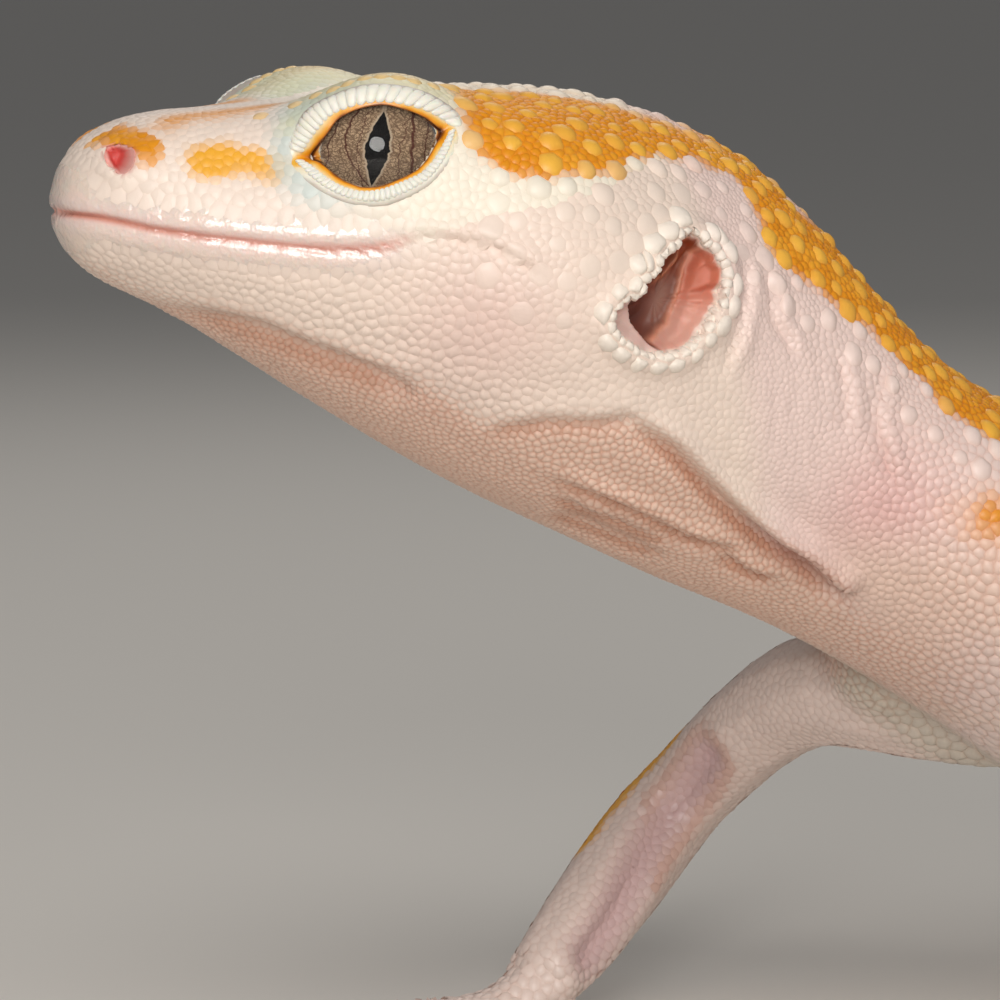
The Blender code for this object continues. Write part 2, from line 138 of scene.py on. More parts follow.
def fresh_mesh(name, points, faces, smooth=True):
    """A mesh from points in millimetres and equal-sided faces, quickly."""
    mesh = bpy.data.meshes.new(name)
    points, faces = to_metres(points), np.asarray(faces, dtype=np.int32)
    sides = faces.shape[1]
    mesh.vertices.add(len(points))
    mesh.vertices.foreach_set("co", points.astype(np.float32).ravel())
    mesh.loops.add(faces.size)
    mesh.loops.foreach_set("vertex_index", faces.ravel())
    mesh.polygons.add(len(faces))
    mesh.polygons.foreach_set("loop_start", np.arange(0, faces.size, sides, dtype=np.int32))
    mesh.update(calc_edges=True)
    mesh.validate()
    mesh.polygons.foreach_set("use_smooth", np.full(len(mesh.polygons), smooth))
    return mesh


def add_object(name, mesh):
    made = bpy.data.objects.new(name, mesh)
    bpy.context.scene.collection.objects.link(made)
    return made


def point_colours(mesh, name, colours):
    layer = mesh.attributes.new(name, "FLOAT_COLOR", "POINT")
    opaque = np.column_stack([colours, np.ones(len(colours))]).astype(np.float32)
    layer.data.foreach_set("color", opaque.ravel())


def point_values(mesh, name, values):
    layer = mesh.attributes.new(name, "FLOAT", "POINT")
    layer.data.foreach_set("value", np.asarray(values, dtype=np.float32))


def mesh_points(mesh):
    flat = np.empty(len(mesh.vertices) * 3)
    mesh.vertices.foreach_get("co", flat)
    return from_metres(flat.reshape(-1, 3))


def mesh_triangles(mesh):
    mesh.calc_loop_triangles()
    flat = np.empty(len(mesh.loop_triangles) * 3, dtype=np.int32)
    mesh.loop_triangles.foreach_get("vertices", flat)
    return flat.reshape(-1, 3)


def solids(names):
    """Points and triangles of some CAD nodes together."""
    points, faces, start = [], [], 0
    for name in names:
        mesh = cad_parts[name].data
        points.append(mesh_points(mesh))
        faces.append(mesh_triangles(mesh) + start)
        start += len(mesh.vertices)
    return np.vstack(points), np.vstack(faces)


def tree_of(points, faces):
    return BVHTree.FromPolygons(points.tolist(), faces.tolist())


def distances(tree, points):
    """How far each place lies from a surface."""
    return np.array([tree.find_nearest(place)[3] or 0 for place in points.tolist()])


def kd_tree(points):
    tree = KDTree(len(points))
    for k, place in enumerate(points.tolist()):
        tree.insert(place, k)
    tree.balance()
    return tree


def point_normals(points, faces):
    corners = points[faces]
    across = np.cross(corners[:, 1] - corners[:, 0], corners[:, 2] - corners[:, 0])
    total = np.zeros_like(points)
    for k in range(3):
        for axis in range(3):
            total[:, axis] += np.bincount(faces[:, k], across[:, axis], len(points))
    return unit(total)


def evaluated(thing, name):
    """The evaluated mesh of an object, which is then removed."""
    graph = bpy.context.evaluated_depsgraph_get()
    mesh = bpy.data.meshes.new_from_object(thing.evaluated_get(graph))
    mesh.name = name
    bpy.data.objects.remove(thing)
    return mesh


def add_piece(name, mesh, slot_name, replaced=(), material=None):
    """Rides a finished mesh on the body with its material, if any, and hides the CAD nodes it stands for. The
    slot's name is not used.
    """
    if material:
        mesh.materials.append(material)
    piece = add_object(name, mesh)
    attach(piece, BODY)
    if replaced:
        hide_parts(*replaced)


def add_node(owner, kind, settings=(), links=()):
    """Adds a node with its settings to a material or a node group, and links its inputs to outputs."""
    tree = getattr(owner, "node_tree", owner)
    made = tree.nodes.new(kind)
    for name, value in dict(settings).items():
        if isinstance(name, int) or name in made.inputs:
            made.inputs[name].default_value = value
        else:
            setattr(made, name, value)
    for name, output in dict(links).items():
        tree.links.new(output, made.inputs[name])
    return made


def new_material(name):
    made = bpy.data.materials.new(name)
    made.use_nodes = True
    made.node_tree.nodes.clear()
    return made


def stored(material, name):
    """The outputs of an attribute that the mesh carries."""
    return add_node(material, "ShaderNodeAttribute", {"attribute_name": name}).outputs


def cloudy(material, scale, detail):
    """Noise fixed to the object, its scale in features to the metre."""
    place = add_node(material, "ShaderNodeTexCoord").outputs["Object"]
    settings = {"Scale": scale, "Detail": detail}
    return add_node(material, "ShaderNodeTexNoise", settings, {"Vector": place}).outputs["Fac"]


def grained(material, scale, detail, strength, depth):
    """The normal of a surface with a fine grain, its depth in metres."""
    return add_node(material, "ShaderNodeBump", {"Strength": strength, "Distance": depth},
                    {"Height": cloudy(material, scale, detail)}).outputs["Normal"]


def principled(material, settings, links):
    """Ends a material in one principled shader."""
    surface_to(material, add_node(material, "ShaderNodeBsdfPrincipled", settings, links))
    return material


def glowing(material, colour, roughness, glow, radius, grain):
    """Ends a material in a surface with light glowing through it, and a grain that breaks its shine."""
    return principled(material, {"Roughness": roughness, "Subsurface Weight": glow, "Subsurface Radius": radius,
                                 "Subsurface Scale": 0.0004},
                      {"Base Color": colour, "Normal": grained(material, *grain)})


def surface_to(material, shader):
    add_node(material, "ShaderNodeOutputMaterial", links={"Surface": shader.outputs[0]})

# ---------------------------------------------------------------- noise and curves

def lattice_noise(points, size, seed=0):
    """Smooth noise from -1 to 1 with features about as wide as the size."""
    at = points / size + np.array([17.3, 5.1, 31.7]) * (seed + 1)
    cell = np.floor(at).astype(np.int64)
    part = at - cell
    part = part * part * (3 - 2 * part)
    total = np.zeros(len(points))
    for corner in np.ndindex(2, 2, 2):
        c = cell + corner
        h = (c[:, 0] * 73856093 ^ c[:, 1] * 19349663 ^ c[:, 2] * 83492791 ^ seed * 2654435) & 0xFFFFFFFF
        h = ((h ^ (h >> 15)) * 2246822519) & 0xFFFFFFFF
        h = ((h ^ (h >> 13)) * 3266489917) & 0xFFFFFFFF
        share = np.prod(np.where(np.array(corner) == 1, part, 1 - part), axis=1)
        total += share * ((h ^ (h >> 16)) & 0xFFFF) / 32767.5
    return total - 1


def rough_noise(points, size, seed=0):
    return (lattice_noise(points, size, seed) + 0.5 * lattice_noise(points, size / 2.1, seed + 11)
            + 0.25 * lattice_noise(points, size / 4.3, seed + 23)) / 1.4


def step_up(value, low, high):
    """0 below low, 1 above high, smooth between."""
    t = np.clip((value - low) / (high - low), 0, 1)
    return t * t * (3 - 2 * t)


def bell(value, width):
    return np.exp(-(value / width) ** 2)


def read_curve(table, at):
    """Reads the columns of a table at the given places on a smooth curve through its rows."""
    rows = np.array(table, dtype=float)
    along, values = rows[:, 0], rows[:, 1:]
    step = np.diff(along)[:, None]
    slope = np.diff(values, axis=0) / step
    tangent = np.vstack([slope[:1], (slope[1:] + slope[:-1]) / 2, slope[-1:]])
    at = np.clip(at, along[0], along[-1])
    k = np.clip(np.searchsorted(along, at) - 1, 0, len(along) - 2)
    t = ((at - along[k]) / step[k, 0])[:, None]
    pull_in, pull_out = tangent[k] * step[k], tangent[k + 1] * step[k]
    return (values[k] * (2 * t**3 - 3 * t**2 + 1) + pull_in * (t**3 - 2 * t**2 + t)
            + values[k + 1] * (3 * t**2 - 2 * t**3) + pull_out * (t**3 - t**2))


def smoothed(values, width, axis=0, wrap=False):
    """Gaussian smoothing of an array along an axis, width in cells."""
    reach = max(1, int(math.ceil(3 * width)))
    weights = np.exp(-0.5 * (np.arange(-reach, reach + 1) / width) ** 2)
    weights /= weights.sum()
    padded = np.pad(values, [(reach, reach) if a == axis else (0, 0) for a in range(values.ndim)],
                    mode="wrap" if wrap else "edge")
    count = values.shape[axis]
    return sum(w * np.take(padded, np.arange(i, i + count), axis=axis) for i, w in enumerate(weights))


def nearest_on(points, start, end):
    """Steps to points from the nearest places of a straight line, and those places' shares of the line."""
    run = end - start
    t = np.clip(((points - start) @ run) / (run @ run), 0, 1)
    return points - (start + t[:, None] * run), t


def run_along(line):
    """How far each point of a line lies from its start, along the line."""
    return np.concatenate([[0], np.cumsum(np.linalg.norm(np.diff(line, axis=0), axis=1))])


def beside_line(points, line):
    """Signed distance in side view to a line of (along, height) points, positive above it, and how
    far along the line, from 0 to 1, each point lies."""
    flat = points[:, [0, 2]]
    line = np.array(line, dtype=float)
    best = np.full(len(points), np.inf)
    signed, share = np.zeros(len(points)), np.zeros(len(points))
    lengths, reached = np.linalg.norm(np.diff(line, axis=0), axis=1), run_along(line)
    for k, (start, end) in enumerate(zip(line, line[1:])):
        away, t = nearest_on(flat, start, end)
        run, distance = end - start, np.linalg.norm(away, axis=1)
        nearer = distance < best
        turn = run[0] * away[:, 1] - run[1] * away[:, 0]
        best = np.where(nearer, distance, best)
        signed = np.where(nearer, np.where(turn < 0, -distance, distance), signed)
        share = np.where(nearer, (reached[k] + t * lengths[k]) / reached[-1], share)
    return signed, share


# ---------------------------------------------------------------- the skin

NOSE_CENTRE_X = 5.5  # rows in front of here fan out from one point, rows behind it are level cuts
NOSE_REACH = 5.3
NOSE_ARC = NOSE_REACH * math.pi / 2
HEAD_ENDS, TAIL_ENDS = 48.0, 190.2
CAST_COLUMNS, HEAD_COLUMNS, BODY_COLUMNS = 96, 232, 116
CAST_HEAD_STEP, CAST_BODY_STEP = 0.9, 1.9  # spacing of the rows of rays that find the solids
FAR = 60.0  # rays towards the body start this far out
FILL_ROUNDS = 400
GAP_DEPTH = 0.35  # a place this far below the rows round it lies in a gap between two solids
TOUCH = 0.8  # nearer than this, a leg's place touches the body
LIMB_SWELL = 0.2  # the solids of a leg are swollen by this while they are joined
WELD = 2e-6  # in metres


def body_axis(points):
    """The middle of the body at each place along it."""
    places = np.arange(0, 192.0, 1.0)
    middle = []
    for x in places:
        near = points[np.abs(points[:, 0] - max(x, NOSE_CENTRE_X)) < (1.8 if x < HEAD_ENDS else 4.5)]
        middle.append((near.min(axis=0) + near.max(axis=0))[1:] / 2)
    middle = smoothed(np.array(middle), 2.5)
    tip = points[points[:, 0] > TAIL_ENDS - 1.5].mean(axis=0)
    start = int(TAIL_ENDS) - 12
    share = np.clip((places - start) / (tip[0] - start), 0, 1.2)[:, None]
    middle[start:] = middle[start] + share[start:] * (tip[1:] - middle[start])
    middle[:, 0] *= step_up(places, 30, 50)
    return places, middle


def ray_rows(rows, columns, axis):
    """Start points and directions of the rays of each row, fanned at the nose, level behind."""
    places, middle = axis
    theta = 2 * np.pi * np.arange(columns) / columns
    fan = np.minimum(rows / NOSE_REACH, math.pi / 2)
    x = NOSE_CENTRE_X + np.maximum(rows - NOSE_ARC, 0)
    centre = np.column_stack([x, np.interp(x, places, middle[:, 0]), np.interp(x, places, middle[:, 1])])
    way = np.empty((len(rows), columns, 3))
    way[:, :, 0] = -np.cos(fan)[:, None]
    way[:, :, 1] = -np.sin(fan)[:, None] * np.sin(theta)
    way[:, :, 2] = np.sin(fan)[:, None] * np.cos(theta)
    return centre, way


def cast_body(points, faces, rows, axis):
    """How far out the body's surface lies on each ray, with the openings and gaps filled in."""
    tree = tree_of(points, faces)
    centre, way = ray_rows(rows, CAST_COLUMNS, axis)
    reach = np.full(way.shape[:2], np.nan)
    eyes = [EYE["centre"] * (1, side, 1) for _, side in SIDES]
    for i, middle in enumerate(centre):
        for j, ray in enumerate(way[i]):
            hit = tree.ray_cast((middle + ray * FAR).tolist(), (-ray).tolist(), FAR)
            if hit[0] is None:
                continue
            place = np.array(hit[0])
            inside = any(np.linalg.norm(place - eye) < EYE["socket"] for eye in eyes)
            inside |= np.linalg.norm((np.abs(place) - EAR["centre"]) @ EAR["turn"] / EAR["half"]) < 1.02
            inside |= np.linalg.norm(np.abs(place) - NOSTRIL["centre"]) < NOSTRIL["radius"] * 1.06
            if not inside:
                reach[i, j] = FAR - hit[3]
    padded = np.pad(reach, ((3, 3), (0, 0)), mode="edge")
    around = np.stack([padded[s:s + len(reach)] for s in (0, 1, 5, 6)])
    reach[reach < np.nanmedian(around, axis=0) - GAP_DEPTH] = np.nan
    reach[0] = np.nanmean(reach[0])
    holes = np.isnan(reach)
    filled = np.where(holes, np.nanmean(reach, axis=1, keepdims=True), reach)
    for _ in range(FILL_ROUNDS):
        spread = np.pad(filled, ((1, 1), (0, 0)), mode="edge")
        near = (spread[2:] + spread[:-2] + np.roll(filled, 1, 1) + np.roll(filled, -1, 1)) / 4
        filled = np.where(holes, near, filled)
    return filled


def fine_rows(values, rows, new_rows, columns):
    """Resamples a grid of distances to more rows and more columns without facets."""
    at_rows = read_curve(np.column_stack([rows, values]), new_rows)
    return np.fft.irfft(np.fft.rfft(at_rows, axis=1), n=columns, axis=1) * columns / values.shape[1]


def strip_faces(first, second):
    """Triangles between two rows of point numbers, where the first may have twice as many."""
    if len(first) == 1 or len(second) == 1:
        ring, pole = (second, first[0]) if len(first) == 1 else (first, second[0])
        after = np.roll(ring, -1)
        sides = (ring, after) if len(second) == 1 else (after, ring)
        return np.column_stack([*sides, np.full(len(ring), pole)])
    if len(first) == len(second):
        a, b, c, d = first, np.roll(first, -1), np.roll(second, -1), second
        return np.vstack([np.column_stack([a, b, c]), np.column_stack([a, c, d])])
    even, odd, after = first[::2], first[1::2], np.roll(first[::2], -1)
    c, d = np.roll(second, -1), second
    return np.vstack([np.column_stack(t) for t in ((even, odd, d), (odd, c, d), (odd, after, c))])


def lofted(rows, closed=False):
    """Points and triangles of rows of points joined one after another. A row of one point is a pole."""
    starts = np.cumsum([0] + [len(row) for row in rows])
    numbers = [np.arange(start, end) for start, end in zip(starts, starts[1:])]
    numbers += numbers[:1] * closed
    return np.vstack(rows), np.vstack([strip_faces(a, b) for a, b in zip(numbers, numbers[1:])])


def torso_skin(settings):
    """The skin of head, body and tail before its folds: points and triangles."""
    points, faces = solids(TORSO)
    axis = body_axis(points)
    head_end = NOSE_ARC + HEAD_ENDS - NOSE_CENTRE_X
    tail_end = NOSE_ARC + TAIL_ENDS - NOSE_CENTRE_X
    rows = np.concatenate([np.linspace(0, NOSE_ARC, 13),
                           np.arange(NOSE_ARC + CAST_HEAD_STEP, head_end, CAST_HEAD_STEP),
                           np.arange(head_end + 0.8, tail_end - 1.5, CAST_BODY_STEP), [tail_end]])
    reach = cast_body(points, faces, rows, axis)
    reach = smoothed(smoothed(reach, 1.1, axis=1, wrap=True), 1.0)
    head_rows = np.arange(settings.head_row / MM, head_end, settings.head_row / MM)
    body_rows = np.linspace(head_end + 0.2, tail_end, int((tail_end - head_end) / (settings.body_row / MM)))
    made = []
    for new_rows, columns in ((head_rows, HEAD_COLUMNS), (body_rows, BODY_COLUMNS)):
        out = fine_rows(reach, rows, new_rows, columns) - settings.coat_depth / MM
        centre, way = ray_rows(new_rows, columns, axis)
        made += list(centre[:, None] + way * out[:, :, None])
    centre, way = ray_rows(np.array([0.0]), 1, axis)
    nose = centre[0] + way[0, 0] * (reach[0, 0] - settings.coat_depth / MM)
    tail = made[-1].mean(axis=0) + np.array([0.5, 0.3, 0])
    return lofted([nose[None], *made, tail[None]])


def limb_skin(name, nodes, settings):
    """One leg's solids joined and rounded over, with a plug that reaches into the body."""
    mesh = fresh_mesh(name, *solids(nodes), smooth=False)
    points = mesh_points(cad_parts[nodes[0]].data)
    contact = points[distances(TORSO_TREE, points) < TOUCH]
    root = contact.mean(axis=0)
    radius = np.linalg.norm(contact - root, axis=1).mean()
    places, middle = body_axis(solids(TORSO)[0])
    into = unit(np.array([root[0], *(np.interp(root[0], places, middle[:, k]) for k in (0, 1))]) - root)
    plugs = [(root + into * radius * 0.6 + (shift * radius, 0, 0), radius * (0.95 - abs(shift) * 0.3))
             for shift in (-0.45, 0.0, 0.5)]
    for place in contact[kept_apart(contact, np.full(len(contact), TOUCH), np.arange(len(contact)))]:
        near = np.array(TORSO_TREE.find_nearest(place.tolist())[0])
        plugs.append((place + 0.7 * unit(root - place) + 0.9 * unit(near - place), 1.15))
    bm = bmesh.new()
    bm.from_mesh(mesh)
    bmesh.ops.remove_doubles(bm, verts=bm.verts, dist=WELD)
    for place, size in plugs:
        bmesh.ops.create_icosphere(bm, subdivisions=2 + (size > 2), radius=size * MM,
                                   matrix=Matrix.Translation(Vector(to_metres(place))))
    bm.to_mesh(mesh)
    bm.free()
    thing = add_object(name, mesh)
    shrink = -LIMB_SWELL - settings.coat_depth / MM
    for kind, strength in (("DISPLACE", LIMB_SWELL), ("REMESH", 0), ("DISPLACE", shrink)):
        change = thing.modifiers.new(kind.lower(), kind)
        if kind == "DISPLACE":
            change.strength, change.mid_level = strength * MM, 0
        else:
            change.mode, change.voxel_size = "VOXEL", settings.limb_voxel
    soften = thing.modifiers.new("soften", "SMOOTH")
    soften.factor, soften.iterations = 0.5, 6
    return evaluated(thing, name)


def relaxed(points, faces, weight, rounds):
    """Moves points towards the middle of their neighbours, by a weight from 0 to 1 each."""
    ends = np.unique(np.sort(np.vstack([faces[:, [0, 1]], faces[:, [1, 2]], faces[:, [2, 0]]]), axis=1), axis=0)
    count = np.bincount(ends.ravel(), minlength=len(points))[:, None]
    for _ in range(rounds):
        total = np.column_stack([np.bincount(ends[:, 0], points[ends[:, 1], k], len(points))
                                 + np.bincount(ends[:, 1], points[ends[:, 0], k], len(points))
                                 for k in range(3)])
        points = points + weight[:, None] * 0.6 * (total / count - points)
    return points


class GECKO_OT_skin(bpy.types.Operator):
    """Make the one skin that covers the head, body, tail and legs"""
    bl_idname = "gecko.skin"
    bl_label = "Skin"

    def execute(self, context):
        settings = context.scene.gecko_skin
        points, faces = torso_skin(settings)
        points = sculpted(points, faces)
        body = add_object("skin", fresh_mesh("skin", points, faces))
        limb_points = []
        for name, nodes in LIMBS.items():
            limb = add_object(name, limb_skin(name, nodes, settings))
            limb_points.append(mesh_points(limb.data))
            join = body.modifiers.new(name, "BOOLEAN")
            join.operation, join.object, join.solver = "UNION", limb, "MANIFOLD"
        mesh = evaluated(body, "skin")
        for name in LIMBS:
            bpy.data.objects.remove(bpy.data.objects[name])
        points, faces = mesh_points(mesh), mesh_triangles(mesh)
        bpy.data.meshes.remove(mesh)
        limb_tree = kd_tree(np.vstack(limb_points))
        near_body = distances(TORSO_TREE, points)
        near_limb = np.array([limb_tree.find(p)[2] for p in points.tolist()])
        weight = (1 - step_up(near_body, 0.8, 2.2)) * (1 - step_up(near_limb, 0.8, 2.2))
        points = relaxed(points, faces, weight, 14)
        limb = (limb_share(points) > 0.2) & (near_limb < TOUCH)
        points[limb] += (point_normals(points, faces) * fold_height(points)[:, None])[limb]
        mesh = fresh_mesh("skin", points, faces)
        point_colours(mesh, "markings", skin_colours(points, point_normals(points, faces)))
        mouth, _ = beside_line(points, MOUTH)
        lips = ((1 - step_up(np.abs(mouth), LIP_HIGH - 0.1, LIP_HIGH + 0.3))
                * (1 - step_up(points[:, 0], 11.5, 14)))
        point_values(mesh, "wet", np.maximum(1 - step_up(tip_plate(points), -0.1, 0.1), lips))
        nodes = [*TORSO, *(node for nodes in LIMBS.values() for node in nodes)]
        add_piece("skin", mesh, "skin_head", nodes, skin_material("soft skin between scales"))
        return {"FINISHED"}


# ---------------------------------------------------------------- folds and openings

def direction_frame(out, along):
    """Unit vectors along, up and out, as the rows of a matrix, for the right-hand side."""
    out = unit(np.array(out, dtype=float))
    along = np.array(along, dtype=float)
    along = unit(along - out * (along @ out))
    return np.array([along, np.cross(along, out), out])


EYE = {"socket": 3.75, "look": (-0.342, 1.0, 0.047), "along": (1, 0, 0.153)}
EYE["centre"] = np.array([13.1, 5.2, 42.6])
EYE["frame"] = direction_frame(EYE["look"], EYE["along"])
# The lids' edge and the outer ring of the lids, in the eye's own plane: along, up.
LID_EDGE = ((-2.88, 0.31), (-1.99, 1.12), (-1.49, 1.59), (-0.96, 1.81), (-0.39, 1.91), (0.17, 1.92),
            (0.71, 1.84), (1.28, 1.59), (1.79, 1.32), (2.22, 1.00), (2.57, 0.63), (2.76, 0.31),
            (2.37, -0.19), (2.01, -0.62), (1.52, -1.02), (1.0, -1.21), (0.42, -1.35), (-0.29, -1.45),
            (-0.96, -1.35), (-1.60, -0.99), (-2.07, -0.53), (-2.47, -0.07))
LID_RING = ((-3.88, 0.54), (-2.85, 2.14), (-1.10, 2.77), (0.46, 2.81), (2.13, 2.27), (3.32, 1.34),
            (3.70, 0.54), (3.19, -0.61), (2.19, -1.65), (0.90, -2.19), (-0.34, -2.36), (-1.70, -1.98),
            (-2.85, -1.20), (-3.60, -0.31))
EAR = {"centre": np.array([25.2, 10.0, 36.6]), "half": np.array([2.25, 2.5, 2.85]), "lean": math.radians(18)}
EAR["turn"] = np.array([[math.cos(EAR["lean"]), 0, math.sin(EAR["lean"])], [0, 1, 0],
                        [-math.sin(EAR["lean"]), 0, math.cos(EAR["lean"])]])
# The ragged edge of the ear opening, in side view.
EAR_EDGE = ((25.9, 39.0), (26.4, 38.8), (26.5, 38.5), (27.2, 38.1), (27.2, 37.8), (27.5, 37.5), (27.3, 36.5),
            (27.1, 36.0), (26.6, 35.3), (25.8, 34.5), (25.2, 34.1), (24.2, 34.0), (23.5, 34.1), (22.8, 34.4),
            (22.0, 35.0), (21.7, 35.4), (21.9, 35.9), (22.4, 36.3), (22.8, 36.4), (23.1, 36.4), (23.2, 36.7),
            (23.3, 37.1), (23.9, 37.3), (24.1, 37.7), (24.2, 37.9), (24.5, 38.2), (25.2, 38.5), (25.3, 38.8))
NOSTRIL = {"centre": np.array([2.1, 3.55, 42.25]), "radius": 0.62}
NOSTRIL_EDGE = ((1.75, 42.75), (2.05, 42.95), (2.4, 42.95), (2.72, 42.75), (2.66, 42.35), (2.45, 41.95),
                (2.15, 41.75), (1.9, 41.95), (1.78, 42.35))

# Creases and folds in side view: along, height.
MOUTH = ((0.0, 40.02), (1.2, 39.9), (2.2, 39.7), (3.2, 39.45), (4.2, 39.3), (5.3, 39.12), (6.4, 39.0),
         (7.5, 38.85), (8.9, 38.7), (10.8, 38.6), (11.9, 38.65), (12.6, 38.8), (13.2, 39.05), (13.6, 39.15))
MOUTH_CREASE = ((13.6, 39.15), (14.4, 39.1), (15.5, 39.0), (16.2, 38.8), (16.8, 38.6), (17.5, 38.2),
                (18.0, 37.8), (18.7, 37.4))
JAW_KEEL = ((1.3, 37.8), (1.7, 37.4), (2.9, 36.8), (3.8, 36.6), (4.8, 36.4), (5.9, 36.1), (6.9, 35.8),
            (8.7, 35.2), (9.6, 34.8), (11.0, 34.3), (12.3, 33.8), (13.6, 33.5), (14.5, 33.2))
KEEL_GROOVE = ((4.0, 36.2), (7.7, 35.1), (9.7, 34.2), (11.0, 33.7), (12.4, 33.1), (13.6, 32.4), (14.6, 31.7))
GULAR_CREASE = ((17.2, 30.2), (18.2, 30.7), (19.6, 31.0), (21.5, 30.9), (23.6, 31.1))
GULAR_FOLD = ((23.6, 31.1), (24.5, 30.5), (25.6, 29.8), (27.2, 28.4), (28.6, 27.2), (29.9, 26.2), (31.2, 25.3),
              (32.7, 24.5), (34.0, 23.4), (35.3, 22.6))
THROAT_FOLDS = (((20.2, 28.7), (21.5, 28.2), (23.3, 27.5), (25.2, 26.7), (27.2, 25.7), (28.8, 25.2),
                 (30.4, 24.9)),
                ((20.9, 27.8), (22.6, 27.0), (24.3, 26.4), (26.0, 25.6), (27.1, 25.4)),
                ((21.6, 26.9), (23.0, 26.3), (24.4, 25.7), (26.0, 25.0), (27.2, 24.7)),
                ((29.0, 24.8), (30.6, 23.9), (32.0, 23.4)))
NECK_FOLDS = (((29.2, 38.4), (29.1, 37.2), (28.8, 35.9), (28.4, 34.7), (27.8, 33.4), (27.5, 32.5)),
              ((29.9, 37.6), (30.5, 36.4), (30.3, 35.3), (31.1, 34.3), (31.4, 33.0)),
              ((33.6, 33.8), (33.9, 32.4), (34.0, 30.9), (33.8, 29.8)),
              ((36.2, 33.6), (35.9, 32.2), (35.4, 31.0), (35.6, 29.9), (36.1, 28.3), (36.3, 27.2)))
# The rostral plate over the mouth and the mental plate under it, in side view.
ROSTRAL = ((-2, 39.9), (0.6, 39.95), (1.35, 39.85), (1.35, 40.7), (1.2, 41.4), (0.85, 42.0), (0.45, 42.45),
           (-2, 42.8))
MENTAL = ((-2, 40.1), (1.2, 39.95), (1.85, 39.8), (1.75, 39.1), (1.3, 38.4), (0.9, 38.0), (0.5, 37.9),
          (-2, 38.0))
# On the right foreleg: the groove between two muscles and the orange of the leading edge.
ARM_GROOVE = ((35.9, 13.5, 12.6), (35.4, 14.7, 10.9), (34.8, 15.2, 9.8), (33.7, 14.7, 8.6), (32.7, 14.1, 7.4),
              (31.6, 13.5, 6.0), (30.6, 12.9, 4.7), (29.6, 12.5, 3.7))
ARM_ORANGE = ((35.6, 17.0, 13.2), (34.4, 17.9, 11.7), (33.2, 18.2, 10.2), (32.0, 18.0, 9.0), (31.0, 17.2, 8.2))


def tip_plate(points):
    """Signed distance to the smooth plates of the snout's tip, negative on them."""
    return np.minimum(from_loop(points[:, [0, 2]], ROSTRAL), from_loop(points[:, [0, 2]], MENTAL))


def closed_curve(points, count):
    """A closed loop resampled to equal steps along a smooth curve through its points."""
    points = np.array(points, dtype=float)
    wrapped = np.vstack([points[-3:], points, points[:3]])
    knots = np.arange(-3, len(points) + 3)
    fine = read_curve(np.column_stack([knots, wrapped]), np.linspace(0, len(points), count * 8, endpoint=False))
    run = run_along(np.vstack([fine, fine[:1]]))
    at = np.linspace(0, run[-1], count, endpoint=False)
    return np.column_stack([np.interp(at, run, np.append(fine[:, k], fine[0, k])) for k in (0, 1)])


def from_loop(flat, loop):
    """Signed distance of flat points to a closed loop, negative inside it."""
    loop = np.array(loop, dtype=float)
    best, crossings = np.full(len(flat), np.inf), np.zeros(len(flat), dtype=int)
    for start, end in zip(loop, np.roll(loop, -1, axis=0)):
        best = np.minimum(best, np.linalg.norm(nearest_on(flat, start, end)[0], axis=1))
        spans = (start[1] > flat[:, 1]) != (end[1] > flat[:, 1])
        with np.errstate(divide="ignore", invalid="ignore"):
            cross_at = start[0] + (flat[:, 1] - start[1]) * (end - start)[0] / (end - start)[1]
        crossings += spans & (flat[:, 0] < cross_at)
    return np.where(crossings % 2 == 1, -best, best)


def mirrored(points):
    """Points on the right-hand side: both sides of the animal share one description."""
    return np.abs(points) * (0, 1, 0) + points * (1, 0, 1)


def in_eye(points):
    """Along, up and out from the eye's centre, for points of either side."""
    return (mirrored(points) - EYE["centre"]) @ EYE["frame"].T


def side_loop(points, loop, inner):
    """Signed distance to a loop in side view, for points further out than inner."""
    away = from_loop(points[:, [0, 2]], loop)
    return np.where(np.abs(points[:, 1]) > inner, away, np.abs(away) + 5)


def from_ear(points):
    return side_loop(points, EAR_EDGE, 5)


def from_nostril(points):
    return side_loop(points, NOSTRIL_EDGE, 1.5)


def from_lids(eye):
    """Signed distance to the outer ring of the lids, for points in the eye's own frame."""
    return from_loop(eye[:, :2], closed_curve(LID_RING, 48))


TORSO_TREE = tree_of(*solids(TORSO))


def limb_share(points):
    """1 on the legs and 0 on the body, changing over the shoulder and the hip."""
    share = np.zeros(len(points))
    low = np.nonzero((points[:, 2] < 20) & (points[:, 0] > 14) & (points[:, 0] < 124))[0]
    share[low] = step_up(distances(TORSO_TREE, points[low]), TOUCH, 2.4)
    return share


def from_path(points, path):
    """Distance of points to a path in space."""
    steps = zip(np.array(path[:-1]), np.array(path[1:]))
    return np.min([np.linalg.norm(nearest_on(points, start, end)[0], axis=1) for start, end in steps], axis=0)


# Creases in shadow: the line, how far below it they lie, their width, where they fade in and out, and
# their weight.
CREASES = (
    (KEEL_GROOVE, 0.0, 0.55, 0.3, 0.95, 0.8),
    (GULAR_CREASE, 0.05, 0.35, 0.25, 0.95, 0.75),
    (GULAR_FOLD, 0.36, 0.36, 0.15, 0.97, 1.0),
    *((fold, 0.24, 0.20, 0.2, 0.98, 0.9) for fold in THROAT_FOLDS),
)
